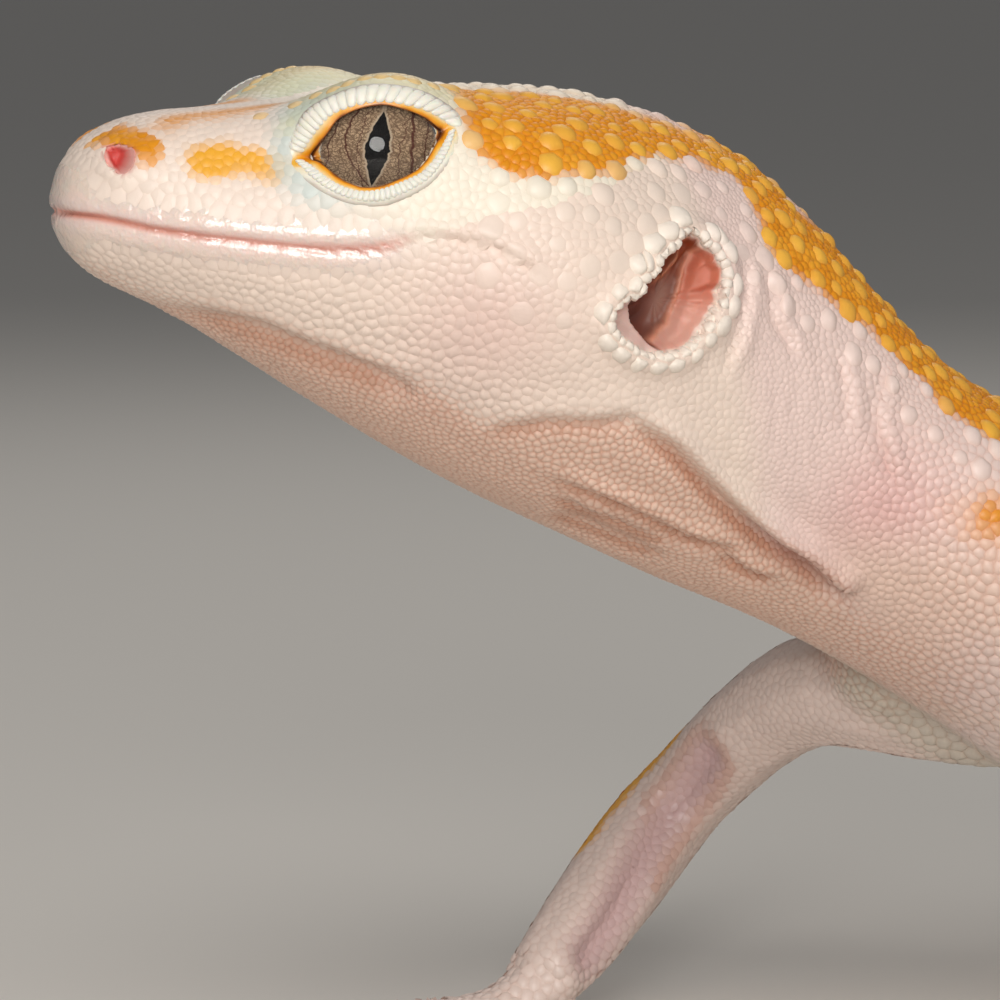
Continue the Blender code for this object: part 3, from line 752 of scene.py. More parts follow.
# Folds of the skin: the line, where they fade in and out along it, their strength at its start and what
# it gains further back, whether they fade towards the animal's middle, and their waves, each with a
# height, a shift above the line and a width.
FOLDS = (
    (MOUTH_CREASE, (-0.2, 0.1), (0.85, 1.0), (1, 0), False, ((-0.16, 0.0, 0.14), (0.16, 0.4, 0.4))),
    (JAW_KEEL, (0.1, 0.4), (0.92, 1.0), (1, 0), True, ((0.14, 0.05, 0.35),)),
    (KEEL_GROOVE, (0.02, 0.4), (0.9, 1.0), (1, 0), True, ((-0.60, 0.0, 0.42),)),
    (GULAR_CREASE, (0.0, 0.3), (0.9, 1.0), (1, 0), False, ((-0.28, 0.0, 0.30), (0.12, 0.7, 0.6))),
    (GULAR_FOLD, (-0.05, 0.12), (0.93, 1.0), (0.55, 0.75), False, ((0.66, 0.36, 0.42), (-0.95, -0.36, 0.40))),
    *((fold, (-0.05, 0.3), (0.7, 1.05), (1, 0), True, ((0.34, 0.24, 0.32), (-0.50, -0.28, 0.30)))
      for fold in THROAT_FOLDS),
    *((fold, (0.0, 0.25), (0.75, 1.0), (1, 0), True, ((0.18, 0.3, 0.34), (-0.20, -0.2, 0.26)))
      for fold in NECK_FOLDS),
)


def crease_shade(points):
    """How deep in a crease of the throat or neck each place lies, from 0 to 1: the weight of the brown painted
    there as shade.
    """
    flank = step_up(np.abs(points[:, 1]), 0.8, 2.2)
    deep = np.zeros(len(points))
    for line, shift, width, share_from, share_to, weight in CREASES:
        d, share = beside_line(points, line)
        ends = step_up(share, 0.0, share_from) * (1 - step_up(share, share_to - 0.15, share_to))
        deep = np.maximum(deep, weight * ends * bell(d + shift, width) * flank)
    return deep


LIP_PLATE, LIP_HIGH = 1.16, 1.10  # length and height of the smooth plates along the lips


def lip_height(points, mouth):
    """How far the plates of the lips swell from the grooves between them."""
    run = np.interp(points[:, 0], [0.5, 1.2, 2.2, 4.2, 7.5, 13.6],
                    [0, 1.48, 2.83, 5.22, 8.84, 15.43]) / LIP_PLATE
    end = np.abs(run % 1 - 0.5) * LIP_PLATE
    on_lip = (1 - step_up(np.abs(mouth), LIP_HIGH - 0.1, LIP_HIGH)) * (1 - step_up(points[:, 0], 11, 14))
    on_lip = on_lip * step_up(tip_plate(points), 0.0, 0.4)
    return on_lip * (0.05 - 0.05 * bell(end - LIP_PLATE / 2, 0.17) - 0.04 * bell(np.abs(mouth) - LIP_HIGH, 0.2))


def fold_height(points):
    """How far each point of the plain skin is pushed out by the folds, ridges and creases."""
    flank = step_up(np.abs(points[:, 1]), 0.8, 2.2)
    d, share = beside_line(points, MOUTH)
    lips = -0.20 * bell(d, 0.12) + 0.08 * bell(d - 0.5, 0.35) + 0.06 * bell(d + 0.55, 0.35)
    out = (1 - step_up(share, 0.84, 0.97)) * lips + lip_height(points, d)
    for line, fade_in, fade_out, (strength, gain), sideways, waves in FOLDS:
        d, share = beside_line(points, line)
        ends = step_up(share, *fade_in) * (1 - step_up(share, *fade_out))
        strong = (flank if sideways else 1) * ends * (strength + gain * step_up(share, 0.2, 0.8))
        out += strong * sum(height * bell(d - shift, width) for height, shift, width in waves)
    wrinkle = bell(points[:, 0] - 32.0, 3.2) * flank * (points[:, 2] > 24)
    out += 0.07 * wrinkle * rough_noise(points * (2.2, 0.6, 0.5), 1.0, 8)
    out += 0.32 * bell(from_ear(points) - 0.35, 0.5)
    out += 0.10 * bell(from_nostril(points) - 0.2, 0.3)
    out += 0.07 * (1 - step_up(tip_plate(points), -0.2, 0.1))
    groove = from_path(points, ARM_GROOVE)
    return out - 0.50 * bell(groove, 0.8) + 0.12 * bell(groove - 1.5, 0.6)


def sculpted(points, faces):
    """Pushes the folds into the plain skin and sinks it inside the eyes, ears and nostrils."""
    points = points + point_normals(points, faces) * fold_height(points)[:, None]
    eye = in_eye(points)
    distance = np.linalg.norm(eye, axis=1)
    sink = np.where(eye[:, 2] > 0, 1 - step_up(from_lids(eye), -0.52, -0.2), 0)
    keep = 1 - sink * np.clip((distance - 2.2) / distance, 0, 1)
    centre = EYE["centre"] * (np.sign(points[:, 1])[:, None] * (0, 1, 0) + (1, 0, 1))
    points = np.where((sink > 0)[:, None], centre + (points - centre) * keep[:, None], points)
    for away_of, depth, soft in ((from_ear, 3.8, 0.2), (from_nostril, 1.4, 0.15)):
        inward = np.sign(points[:, 1])[:, None] * (0, 1, 0)
        points = points - inward * (depth * (1 - step_up(away_of(points), -soft, 0.0)))[:, None]
    return points


# ---------------------------------------------------------------- markings

HUES = {name: linear(code) for name, code in {
    "face": "#F0DFD2", "cream": "#F4EBDA", "jaw": "#F0DDCF", "lip": "#EED9D3", "seam": "#D58D7A",
    # 'fold' is a brown painted as shade down the creases of throat and neck, and also drawn beside the arm's
    # groove.
    "throat": "#E3C4B2", "fold": "#B8744C", "neck": "#EBD3CB", "flush": "#DFAFAA", "chest": "#E2C5B6",
    "belly": "#EAD8CF", "orange": "#E5941A", "amber": "#F0AE34", "yellow": "#F8D060", "brow": "#DDAE45",
    "brow row": "#EBC27A", "pale": "#DDD9A8", "blue": "#C6D6D4", "nostril": "#D4554F", "trunk": "#E9D6D0",
    "lavender": "#DBC6CC", "arm": "#E2CFC6", "tail": "#EFE9E2", "ivory": "#F7F3E8", "groove mauve": "#B98D98",
    # 'ear shadow' is dark brown painted shadow deep in the lower front of the ear.
    # 'far underside shade' is grey painted shade on the chest's downward faces on the far side.
    "far underside shade": "#C4BEB0", "ear floor": "#7E4436", "ear top": "#94431F", "ear shadow": "#5C3127",
    "ear drum": "#B08878", "ear rear": "#C9735A", "ear lobe": "#DFA898", "front membrane": "#BE7B5A",
    "rear membrane": "#DB987C", "ear shelf": "#EBC8BE", "ear edge": "#F0D9CC", "nostril edge": "#E9A79E",
    "nostril deep": "#CF4C46",
}.items()}
# In side view: the lower edge of the nape's orange loop, and the orange patches of nose and cheek.
NAPE_LOW = ((15.6, 43.2), (15.9, 42.2), (16.6, 41.9), (18.7, 41.3), (20.5, 41.4), (22.7, 41.7), (25.1, 42.0),
            (27.4, 41.7), (29.0, 41.2), (29.7, 40.5), (29.8, 39.6), (30.2, 38.3), (31.2, 36.9), (32.6, 36.0),
            (34.3, 34.9), (35.8, 33.8), (36.7, 32.8), (38.6, 30.9), (41.4, 29.0), (46.0, 26.5))
NOSE_PATCH = ((0.9, 43.3), (1.8, 43.4), (2.6, 43.7), (3.3, 43.5), (3.8, 43.0), (3.7, 42.4), (3.1, 42.1),
              (2.85, 42.6), (2.4, 43.1), (1.9, 43.05), (1.2, 42.9))
CHEEK_PATCH = ((4.7, 42.4), (5.1, 42.8), (5.9, 42.95), (6.9, 42.9), (7.8, 42.7), (8.5, 42.3), (8.8, 42.0),
               (8.2, 41.8), (6.9, 41.85), (5.7, 41.65), (5.0, 41.8))
BACK_BANDS = (67.0, 90.0)  # the middles of the two bands
TAIL_RINGS = ((117, 3.4), (133.5, 3.6), (150, 3.4), (165, 2.9), (178.5, 2.3))  # middle and half width of each


def painted(colours, layers):
    """Colours under layers of other hues, painted in turn, each with its weight at every place."""
    for hue, weight in layers:
        colours = colours + (HUES[hue] - colours) * np.clip(weight, 0, 1)[:, None]
    return colours


def pale_layers(points, normals, wobble, broad, limb):
    """The pale grounds of head, throat, neck, trunk and legs, with painted shade in their creases and under the
    chest's far side.
    """
    x, y, z = points.T
    up, trunk = normals[:, 2], step_up(x, 38, 46)
    mouth, _ = beside_line(points, MOUTH)
    # Throat: everything below the jaw's keel and, further back, below the gular fold.
    throat = step_up(below_jaw(points) + 0.3 * wobble, -0.1, 0.7) * (1 - step_up(x, 35, 40))
    neck = step_up(x + 0.25 * (z - 34), 27.0, 29.5) * (1 - throat) * (1 - step_up(x, 40, 46))
    # The chest's downward faces on the far side, where grey painted shade goes.
    under = step_up(x, 33, 36) * (1 - step_up(x, 54, 62)) * step_up(y, -1.0, 2.5) * step_up(-up, -0.1, 0.4)
    groove = from_path(points, ARM_GROOVE)
    return (
        ("cream", step_up(x + broad, 8, 14) * step_up(z, 38.0, 40.5) * (1 - step_up(x, 28, 31))),
        ("cream", 0.9 * (1 - step_up(from_ear(points), 0.9, 2.2))),
        ("jaw", step_up(-mouth, 0.3, 1.2) * (x < 30)),
        ("lip", bell(mouth, 0.75) * (1 - step_up(x, 11.5, 14))),
        ("throat", throat),
        ("neck", neck),
        ("flush", 0.75 * neck * bell(np.hypot(x - 35.8, z - 26.5), 3.0)),
        ("flush", 0.35 * bell(np.hypot(x - 16.5, z - 35.4), 3.2) * step_up(np.abs(y), 3, 6)),
        ("trunk", trunk),
        ("chest", step_up(x + 0.4 * (z - 20), 32, 38) * (1 - step_up(x, 44, 52)) * (1 - step_up(z, 23, 27))),
        ("lavender", 0.7 * trunk * step_up(broad, 0.0, 0.5)),
        ("belly", trunk * (1 - step_up(up, -0.55, -0.1))),
        # Painted shade: grey on the chest's downward faces on the far side.
        ("far underside shade", 0.8 * under),
        ("arm", limb),
        # A darker mauve tint along the arm's groove.
        ("groove mauve", 0.6 * (1 - step_up(groove, 0.1, 2.0))),
        ("fold", 0.35 * bell(groove - 1.25, 0.4) * (x > 33.5)),
        # Brown painted shade down the creases of the throat and neck.
        ("fold", 0.55 * crease_shade(points)),
    )


def orange_layers(points, normals, wobble, broad, limb):
    """The orange of nose, cheek and snout, the nape's loop, the bands of the back and the tail's rings."""
    x, y, z = points.T
    side, up = np.abs(y), normals[:, 2]
    nose, cheek = (1 - step_up(side_loop(points, loop, inner) + 0.28 * wobble, -soft * 0.4, soft)
                   for loop, inner, soft in ((NOSE_PATCH, 0.9, 0.35), (CHEEK_PATCH, 3.0, 0.5)))
    stripe = (bell(side - 2.4 + 0.35 * wobble, 0.85) * step_up(x + wobble, 3.4, 4.6)
              * (1 - step_up(x, 9.2, 10.5)) * step_up(up, 0.4, 0.7))
    nape, _ = beside_line(points, NAPE_LOW)
    loop = (step_up(nape + 0.42 * wobble, 0.0, 0.55) * step_up(x + 0.3 * wobble, 15.6, 16.6)
            * (1 - step_up(x, 44, 50)))
    crown = step_up(3.9 - side + 0.6 * wobble, 0, 1.2) * (1 - step_up(x, 27.5, 30.0))
    ridge = step_up(nape - 2.9 + 0.4 * wobble, 0, 0.8) * step_up(x, 27.0, 29) * (1 - step_up(x, 33.0, 35.0))
    loop = loop * (1 - 0.9 * crown) * (1 - 0.92 * ridge)
    spot = bell(np.hypot(x - 40.5, z - 26.3), 1.2 + 0.5 * wobble) * step_up(side, 3, 5)
    bands = sum(step_up(4.9 - np.abs(x - middle) + 1.6 * wobble + 2.0 * broad, 0, 1.2) for middle in BACK_BANDS)
    bands = np.clip(bands, 0, 1) * step_up(z - (14.5 + 2.5 * broad), 0, 2.5) * (1 - limb)
    tail = step_up(x, 107, 112) * (1 - limb)
    rings = sum(step_up(half - np.abs(x - middle) + 0.8 * wobble, 0, 0.8) for middle, half in TAIL_RINGS)
    rings = np.clip(rings, 0, 1) * tail * step_up(up, -0.35, 0.15)
    arm = 1 - step_up(from_path(points, ARM_ORANGE) + 0.5 * wobble, 0.5, 1.4)
    flecks = step_up(rough_noise(points, 0.8, 5), -0.15, 0.6)
    return (
        ("tail", tail),
        ("orange", nose + 0.85 * stripe + loop + spot + 0.9 * bands + 0.85 * rings),
        ("amber", np.maximum(cheek, arm)),
        ("amber", (loop + bands + rings + nose) * flecks * 0.6),
    )


def brow_layers(points):
    """A yellow-green dome with a thin blue skin round its front and below, and the flush of the nostril."""
    x, y, z = points.T
    side, eye = np.abs(y), in_eye(points)
    ring = from_lids(eye)
    round_eye = (eye[:, 2] > -2.5) * (1 - step_up(np.abs(eye[:, 0]), 4.4, 5.2))
    dome = bell(x - 12.2, 3.0) * bell(side - 5.3, 2.1) * step_up(z, 44.4, 45.1)
    return (
        ("blue", 0.8 * round_eye * bell(ring - 0.15, 0.75) * (1 - step_up(eye[:, 0], -1.5, 1.5))
         * step_up(eye[:, 1], -2.8, -1.2)),
        ("pale", 0.6 * round_eye * bell(ring - 0.25, 0.4) * step_up(eye[:, 1], 1.0, 2.0)),
        ("brow", 1.3 * dome * step_up(ring, 0.2, 0.8)),
        ("blue", 0.55 * step_up(x, 7.2, 8.2) * bell(x - 9.2, 1.3) * bell(side - 5.6, 1.4)
         * step_up(z, 43.6, 44.6)),
        ("nostril", 0.5 * (1 - step_up(from_nostril(points), -0.05, 0.22))),
    )


def markings(points, normals):
    """The colour of skin and scales at each place, without the painted shade of the crevices."""
    about = points, normals, rough_noise(points, 1.3, 1), rough_noise(points, 4.5, 2), limb_share(points)
    face = np.tile(HUES["face"], (len(points), 1))
    return painted(face, (*pale_layers(*about), *orange_layers(*about), *brow_layers(points)))


CREVICE_SHADE = np.array([0.80, 0.50, 0.38])  # what the deepest creases keep of each colour: painted shade with a warmer tone


def crevice_shade(points):
    """How much painted shade, dark and warm, lies in the creases between scales: faint on the face, strong on
    the throat.
    """
    x = points[:, 0]
    throat = step_up(below_jaw(points), -0.8, 0.6) * (1 - step_up(x, 36, 42))
    nape, _ = beside_line(points, NAPE_LOW)
    orange = step_up(nape, -0.3, 0.5) * step_up(x, 15.5, 16.5)
    limb = limb_share(points)
    body = 0.42 * throat + 0.22 * orange + 0.22 * step_up(x, 34, 42)
    return np.clip(0.05 + body * (1 - limb) + 0.05 * limb, 0, 1)


def skin_colours(points, normals):
    """Skin shows only between scales, where it is darker and warmer: a warmer tone and painted shade of the
    crevices.
    """
    colour = markings(points, normals)
    # Painted shade of the crevices, warmer as it darkens.
    colour = colour * (1 - crevice_shade(points)[:, None] * (1 - CREVICE_SHADE))
    mouth, _ = beside_line(points, MOUTH)
    return painted(colour, [("seam", bell(mouth, 0.17) * (1 - step_up(points[:, 0], 12.2, 13.8)))])


def skin_material(name):
    """Soft pink skin: satin, and wet and glossy on the lips' edge and the plates of the tip."""
    made = new_material(name)
    dull, gloss, glow = (add_node(made, "ShaderNodeMapRange", {"To Min": low, "To Max": high},
                                  {"Value": stored(made, "wet")["Fac"]}).outputs["Result"]
                         for low, high in ((0.52, 0.27), (0.0, 0.3), (0.0, 0.4)))
    return principled(
        made, {"Subsurface Radius": (1.0, 0.55, 0.4), "Subsurface Scale": 0.0005, "Coat Roughness": 0.15},
        {"Base Color": stored(made, "markings")["Color"], "Roughness": dull, "Subsurface Weight": glow,
         "Coat Weight": gloss, "Normal": grained(made, 3600.0, 3.0, 0.6, 0.00011)})


# ---------------------------------------------------------------- scales

NOWHERE = 60.0  # the pitch where a kind of scale doesn't grow
SMALL, MEDIUM, LARGE = 7, 12, 16  # sides of a scale by its size
FREE, TUBERCLE, EAR_BEAD, BROW = range(4)  # the kinds of scale
CAPS = (1.9, 1.10, 1.45, 1.25)  # how far each kind may spread, in radii
DARTS = 8  # places tried for each scale that fits
PACKING = 0.80  # the least gap between scattered scales, in pitches
CLEARANCE = 1.12  # free scales start this far from the fixed ones, in radii
OVERLAP = 1.06  # neighbours' rims cross by this much, so that no gap is left
PUSH = 0.42  # share of an overlap that each round of settling takes away
SETTLE_ROUNDS, SETTLE_NEAR, CELL_NEAR = 7, 6, 14


def scale_sizes(points, normals):
    """Pitch, height as a share of the pitch, and flatness of the scales at each place."""
    x, y, z = points.T
    mouth, _ = beside_line(points, MOUTH)
    keel, _ = beside_line(points, JAW_KEEL)
    nape, _ = beside_line(points, NAPE_LOW)
    limb, below = limb_share(points), below_jaw(points)
    pitch = np.interp(x, [0, 6, 12, 22, 30, 38, 44, 52, 100, 112, 185],
                      [0.42, 0.38, 0.38, 0.40, 0.34, 0.42, 0.62, 1.0, 1.05, 1.1, 0.8])
    height = 0.07 + 0.14 * step_up(x, 42, 52)
    flat = np.full(len(x), 0.2)
    jaw = step_up(-mouth, 0.9, 1.3) * step_up(keel, -0.2, 0.2) * (x < 17)
    lip = step_up(mouth, 0.9, 1.3) * (1 - step_up(mouth, 1.7, 2.6)) * (x < 13)
    throat = step_up(below, -0.2, 0.5) * (1 - step_up(x, 36, 42))
    chin = bell(below + 0.9, 0.8) * step_up(x, 8, 11) * (1 - step_up(x, 17, 21))
    neck = (step_up(x + 0.25 * (z - 34), 27.0, 29.5) * (1 - throat) * (1 - step_up(x, 37, 41))
            * step_up(np.abs(y), 2.5, 4.5))
    loop = step_up(nape, -0.2, 0.5) * step_up(x, 15.5, 17) * (1 - step_up(x, 44, 50))
    chest = step_up(x + 0.3 * (z - 20), 33, 40) * (1 - step_up(normals[:, 2], 0.1, 0.5))
    foot = step_up(4.0 - z, 0, 1.5) * limb
    for share, new_pitch, new_height, new_flat in (
            (jaw, 0.46 - 0.06 * step_up(mouth, -3.2, -1.2), 0.10, 0.25),
            (lip, 0.52, 0.05, 0.2),
            (throat, 0.33, 0.20, 0.1),
            (chin, 0.46, 0.17, 0.15),
            (neck, 0.26, 0.09, 0.2),
            (loop, 0.40, 0.16, 0.3),
            (chest, 0.42 + 0.4 * step_up(x, 38, 47) + 0.15 * step_up(x, 50, 58), 0.17, 0.3),
            (limb, 0.42, 0.07, 0.2),
            (foot, 0.50, 0.16, 0.3)):
        pitch = pitch + (new_pitch - pitch) * share
        height = height + (new_height - height) * share
        flat = flat + (new_flat - flat) * share
    return pitch, height, flat


# The edge of the jaw and, behind it, the fold of the throat: places along it and heights.
JAW_EDGE = ((0, 1.3, 3.8, 6.9, 9.6, 12.3, 14.5, 17.2, 19.6, 23.6, 25.6, 28.6, 31.2, 34, 36, 42),
            (38.4, 37.8, 36.6, 35.8, 34.8, 33.8, 33.0, 31.2, 31.2, 31.1, 29.8, 27.2, 25.3, 23.4, 21.5, 18.0))


def below_jaw(points):
    """How far each place lies under the edge of the jaw and, further back, under the fold of the throat."""
    return np.interp(points[:, 0], *JAW_EDGE) - points[:, 2]


class Surface:
    """The finished skin as arrays, with a search tree and smooth normals."""

    def __init__(self):
        mesh = bpy.data.objects["skin"].data
        self.points, self.faces = mesh_points(mesh), mesh_triangles(mesh)
        self.normals = point_normals(self.points, self.faces)
        self.tree = tree_of(self.points, self.faces)

    def land(self, points):
        """The nearest places on the skin and the smooth normals there."""
        places, numbers = np.empty_like(points), np.empty(len(points), dtype=int)
        for k, place in enumerate(points.tolist()):
            found = self.tree.find_nearest(place)
            places[k], numbers[k] = found[0], found[2]
        corners = self.points[self.faces[numbers]]
        away = 1 / (np.linalg.norm(corners - places[:, None], axis=2) + 1e-3)
        normals = unit((self.normals[self.faces[numbers]] * away[:, :, None]).sum(axis=1))
        return places, normals


def bare(points):
    """Where no scale grows: inside the lids, ears, nostrils and on the lips' own plates."""
    eye = in_eye(points)
    inside = (from_lids(eye) < 0.05) & (eye[:, 2] > 0)
    inside |= (from_ear(points) < 0.12) | (from_nostril(points) < 0.16) | (tip_plate(points) < 0.05)
    mouth, _ = beside_line(points, MOUTH)
    lip = np.interp(points[:, 0], [0, 10, 13.6, 14.2], [1.12, 1.1, 0.45, 0.1])
    return inside | ((np.abs(mouth) < lip) & (points[:, 0] < 14))


def kept_apart(points, gap, order):
    """Indices of a subset with no two points closer than their gap, taken in the given order."""
    tree = kd_tree(points)
    alive, kept = np.ones(len(points), dtype=bool), []
    places, gaps = points.tolist(), gap.tolist()
    for k in order.tolist():
        if alive[k]:
            kept.append(k)
            for _, other, _ in tree.find_range(places[k], gaps[k]):
                alive[other] = False
    return np.array(kept)


def scattered(surface, pitch_of, rng, fixed, fixed_radii):
    """Scale places with an even spacing that follows the pitch, round the fixed scales."""
    corners = surface.points[surface.faces]
    start, first, second = corners[:, 0], corners[:, 1] - corners[:, 0], corners[:, 2] - corners[:, 0]
    areas = np.linalg.norm(np.cross(first, second), axis=1) / 2
    middles = corners.mean(axis=1)
    middle_normals = unit(surface.normals[surface.faces].sum(axis=1))
    wanted = areas / pitch_of(middles, middle_normals) ** 2 * DARTS
    wanted[bare(middles)] = 0
    owner = np.repeat(np.arange(len(wanted)), rng.poisson(wanted))
    a, b = rng.random(len(owner)), rng.random(len(owner))
    a, b = np.where(a + b > 1, 1 - a, a), np.where(a + b > 1, 1 - b, b)
    places = start[owner] + a[:, None] * first[owner] + b[:, None] * second[owner]
    pitch = pitch_of(places, middle_normals[owner])
    places, pitch = places[pitch < NOWHERE], pitch[pitch < NOWHERE]
    taken = np.zeros(len(places), dtype=bool)
    tree = kd_tree(places)
    for place, radius in zip(fixed.tolist(), fixed_radii.tolist()):
        for _, other, _ in tree.find_range(place, radius * CLEARANCE):
            taken[other] = True
    places, pitch = places[~taken], pitch[~taken]
    return places[kept_apart(places, pitch * PACKING, rng.permutation(len(places)))]


def settled(surface, points, radii_of, fixed, fixed_radii):
    """Nudges free scales apart until they pack evenly, and keeps them on the skin."""
    normals = surface.land(points)[1]
    for _ in range(SETTLE_ROUNDS):
        both = np.vstack([points, fixed])
        radii = np.concatenate([radii_of(points, normals), fixed_radii])
        near = neighbours(both, SETTLE_NEAR)[:len(points)]
        away = points[:, None] - both[near]
        distance = np.linalg.norm(away, axis=2)
        want = (radii[:len(points), None] + radii[near]) * OVERLAP
        push = np.clip(want - distance, 0, None) / np.maximum(distance, 1e-6)
        points, normals = surface.land(points + PUSH * (away * push[:, :, None]).sum(axis=1))
    return points, normals


def neighbours(points, count):
    tree = kd_tree(points)
    return np.array([[found[1] for found in tree.find_n(place, count + 1)][1:] for place in points.tolist()])


RING_SHAPES = {  # how far out each ring of a scale lies, by its number of sides
    SMALL: (0.60, 1.0),
    MEDIUM: (0.50, 0.84, 1.0),
    LARGE: (0.36, 0.68, 0.90, 1.0),
}
FINE_UNTIL = 33  # small scales in front of here follow the skin with every point
SEAM_RISE = 0.6  # below this share of its height a scale takes on the colour of the crevice: painted shade with a warmer tone
PATCH = 0.0015  # half the width of a scale's patch on the unwrap


def mound_faces(count, sides, rings):
    """Triangles of mounds of points, and of their flat undersides.

    The points are the tops of all the mounds, then the first ring of each, then the next ring of each.
    """
    base = [count + ring * count * sides for ring in range(rings)]
    k, j = np.arange(count)[:, None], np.arange(sides)[None]
    after = (j + 1) % sides
    made = [(k + 0 * j, base[0] + k * sides + j, base[0] + k * sides + after)]
    for inner, outer in zip(base, base[1:]):
        a, b = inner + k * sides + j, inner + k * sides + after
        c, d = outer + k * sides + after, outer + k * sides + j
        made += [(a, d, c), (a, c, b)]
    last = base[-1] + k[:, 0] * sides
    under = [np.column_stack([last, last + t + 1, last + t]) for t in range(1, sides - 1)]
    return np.vstack([np.stack(corners, axis=2).reshape(-1, 3) for corners in made]), np.vstack(under)


def scale_cells(surface, data, all_places, all_radii, chosen, sides):
    """Closed little mounds for the chosen scales, each filling its share of the skin."""
    places, normals, radii = all_places[chosen], data["normals"][chosen], all_radii[chosen]
    height, flat, lean, cap = (data[key][chosen] for key in ("height", "flat", "lean", "cap"))
    near, count, rings = data["near"][chosen], len(places), RING_SHAPES[sides]
    lie = np.array([1.0, 0.0, -0.25])
    ahead = unit(lie - normals * (normals @ lie)[:, None])
    beside = np.cross(normals, ahead)
    away = all_places[near] - places[:, None]
    distance = np.linalg.norm(away, axis=2)
    flat_away = unit(away - normals[:, None] * (away * normals[:, None]).sum(axis=2, keepdims=True))
    half_way = distance * radii[:, None] / (radii[:, None] + all_radii[near])
    turn = 2 * np.pi * (np.arange(sides) + 0.5) / sides
    ways = ahead[:, None] * np.cos(turn)[:, None] + beside[:, None] * np.sin(turn)[:, None]
    facing = np.einsum("nkd,njd->nkj", ways, flat_away)
    with np.errstate(divide="ignore"):
        limit = np.where(facing > 0.2, half_way[:, None] / np.maximum(facing, 1e-3), np.inf).min(axis=2)
    limit = np.minimum(limit, (radii * cap)[:, None]) * OVERLAP
    made, rise, out = [places + normals * height[:, None]], [np.ones(count)], [np.zeros((count, 2))]
    for ring in rings:
        lift = 1 - ring ** (1.9 + 3 * flat)
        level = height * lift + 0.003 if ring < 1 else np.full(count, -0.001)
        tip = (height * lean)[:, None] * np.cos(turn) * ring * (1 if ring < 1 else 0.35)
        spots = places[:, None] + ways * (limit * ring)[:, :, None]
        if sides != SMALL or places[:, 0].max() < FINE_UNTIL:
            landed = surface.land(spots.reshape(-1, 3))
            spots, up = landed[0].reshape(spots.shape), landed[1].reshape(spots.shape)
        else:
            up = normals[:, None]
        made.append((spots + up * (level[:, None] + tip)[:, :, None]).reshape(-1, 3))
        rise.append(np.repeat(lift, sides))
        out.append(np.column_stack([np.tile(np.cos(turn), count), np.tile(np.sin(turn), count)]) * ring)
    faces, under = mound_faces(count, sides, len(rings))
    owner = np.concatenate([chosen] + [np.repeat(chosen, sides)] * len(rings))
    return {"points": np.vstack(made), "faces": np.vstack([faces, under]), "flat_from": len(faces),
            "rise": np.concatenate(rise), "owner": owner, "out": np.vstack(out)}


def unwrap(places):
    """Where each scale's root lies on an unwrap of the skin: round the body and along it."""
    x, y, z = places.T
    middle = np.interp(x, [0, 20, 40, 60, 110, 190], [40.4, 36.2, 25.5, 16, 8, 1])
    spine = np.interp(x, [0, 40, 58, 75, 92, 106, 120, 138, 158, 176, 190],
                      [0, 0, 2, 4, 2.6, -1, -5, -7.5, -4.5, 3, 11])
    turn = np.arctan2(y - spine, z - middle) / (2 * np.pi)
    return np.column_stack([0.5 + turn * 0.98, 0.01 + x / 192 * 0.98])


def coat_piece(name, parts, roots, colours, seam_shades, material, slot_name):
    """One piece of the coat, with its scales' markings and their places on the unwrap."""
    starts = np.cumsum([0] + [len(part["points"]) for part in parts])
    faces = np.vstack([part["faces"] + start for part, start in zip(parts, starts)])
    flats = np.concatenate([np.arange(len(part["faces"])) >= part["flat_from"] for part in parts])
    points, rise, owner, out = (np.concatenate([part[key] for part in parts])
                                for key in ("points", "rise", "owner", "out"))
    mesh = fresh_mesh(name, points, faces)
    mesh.polygons.foreach_set("use_smooth", ~flats)
    # The rim is a sharp edge, so that the flat underside doesn't turn the shading of the mound's edge.
    ends = np.empty(len(mesh.edges) * 2, dtype=np.int32)
    mesh.edges.foreach_get("vertices", ends)
    mesh.edges.foreach_set("use_edge_sharp", (rise[ends.reshape(-1, 2)] < 0.001).all(axis=1))
    # Towards each scale's foot its colour turns to the seam's: painted shade of the crevice.
    deep = 1 - np.clip(rise / SEAM_RISE, 0, 1)[:, None]
    point_colours(mesh, "markings", colours[owner] + (seam_shades[owner] - colours[owner]) * deep)
    spots = (unwrap(roots)[owner] + out * PATCH)[faces.ravel()]
    mesh.uv_layers.new(name="OFBake").data.foreach_set("uv", spots.astype(np.float32).ravel())
    add_piece(name, mesh, slot_name, material=material)


def scale_material(name):
    """Thin matt horn over pink skin: soft light, and colours darker and warmer down in the crevices, painted
    shade with a warmer tone.
    """
    made = new_material(name)
    return principled(made, {"Roughness": 0.45, "Specular IOR Level": 0.4}, {
        "Base Color": stored(made, "markings")["Color"], "Normal": grained(made, 9000.0, 2.0, 0.25, 0.00002)})


def tubercle_pitch(points, normals):
    """Spacing of the big round tubercles, and none where they don't grow."""
    x, y, z = points.T
    side, up = np.abs(y), normals[:, 2]
    nape, _ = beside_line(points, NAPE_LOW)
    pitch = np.full(len(points), NOWHERE)
    for grows, spacing in (
            ((x > 16) & (x < 30) & (z > 37.2) & (z < 46) & (side > 2), 1.35),  # temple
            ((x > 17) & (x < 24) & (z > 35.5) & (z <= 37.2), 1.7),  # cheek
            ((x > 16) & (x < 31) & (side <= 3.2) & (up > 0.3), 1.25),  # crown
            ((x >= 28.5) & (x < 50) & (nape > -1.6) & (up > -0.2), 1.35),  # neck
            ((x >= 46) & (x < 108) & (up > 0.0), 2.2),  # back
            ((x >= 108) & (x < 184) & (up > -0.1), 2.3),  # tail
            ((limb_share(points) > 0.5) & (x > 60), NOWHERE)):
        pitch = np.where(grows, spacing, pitch)
    return pitch


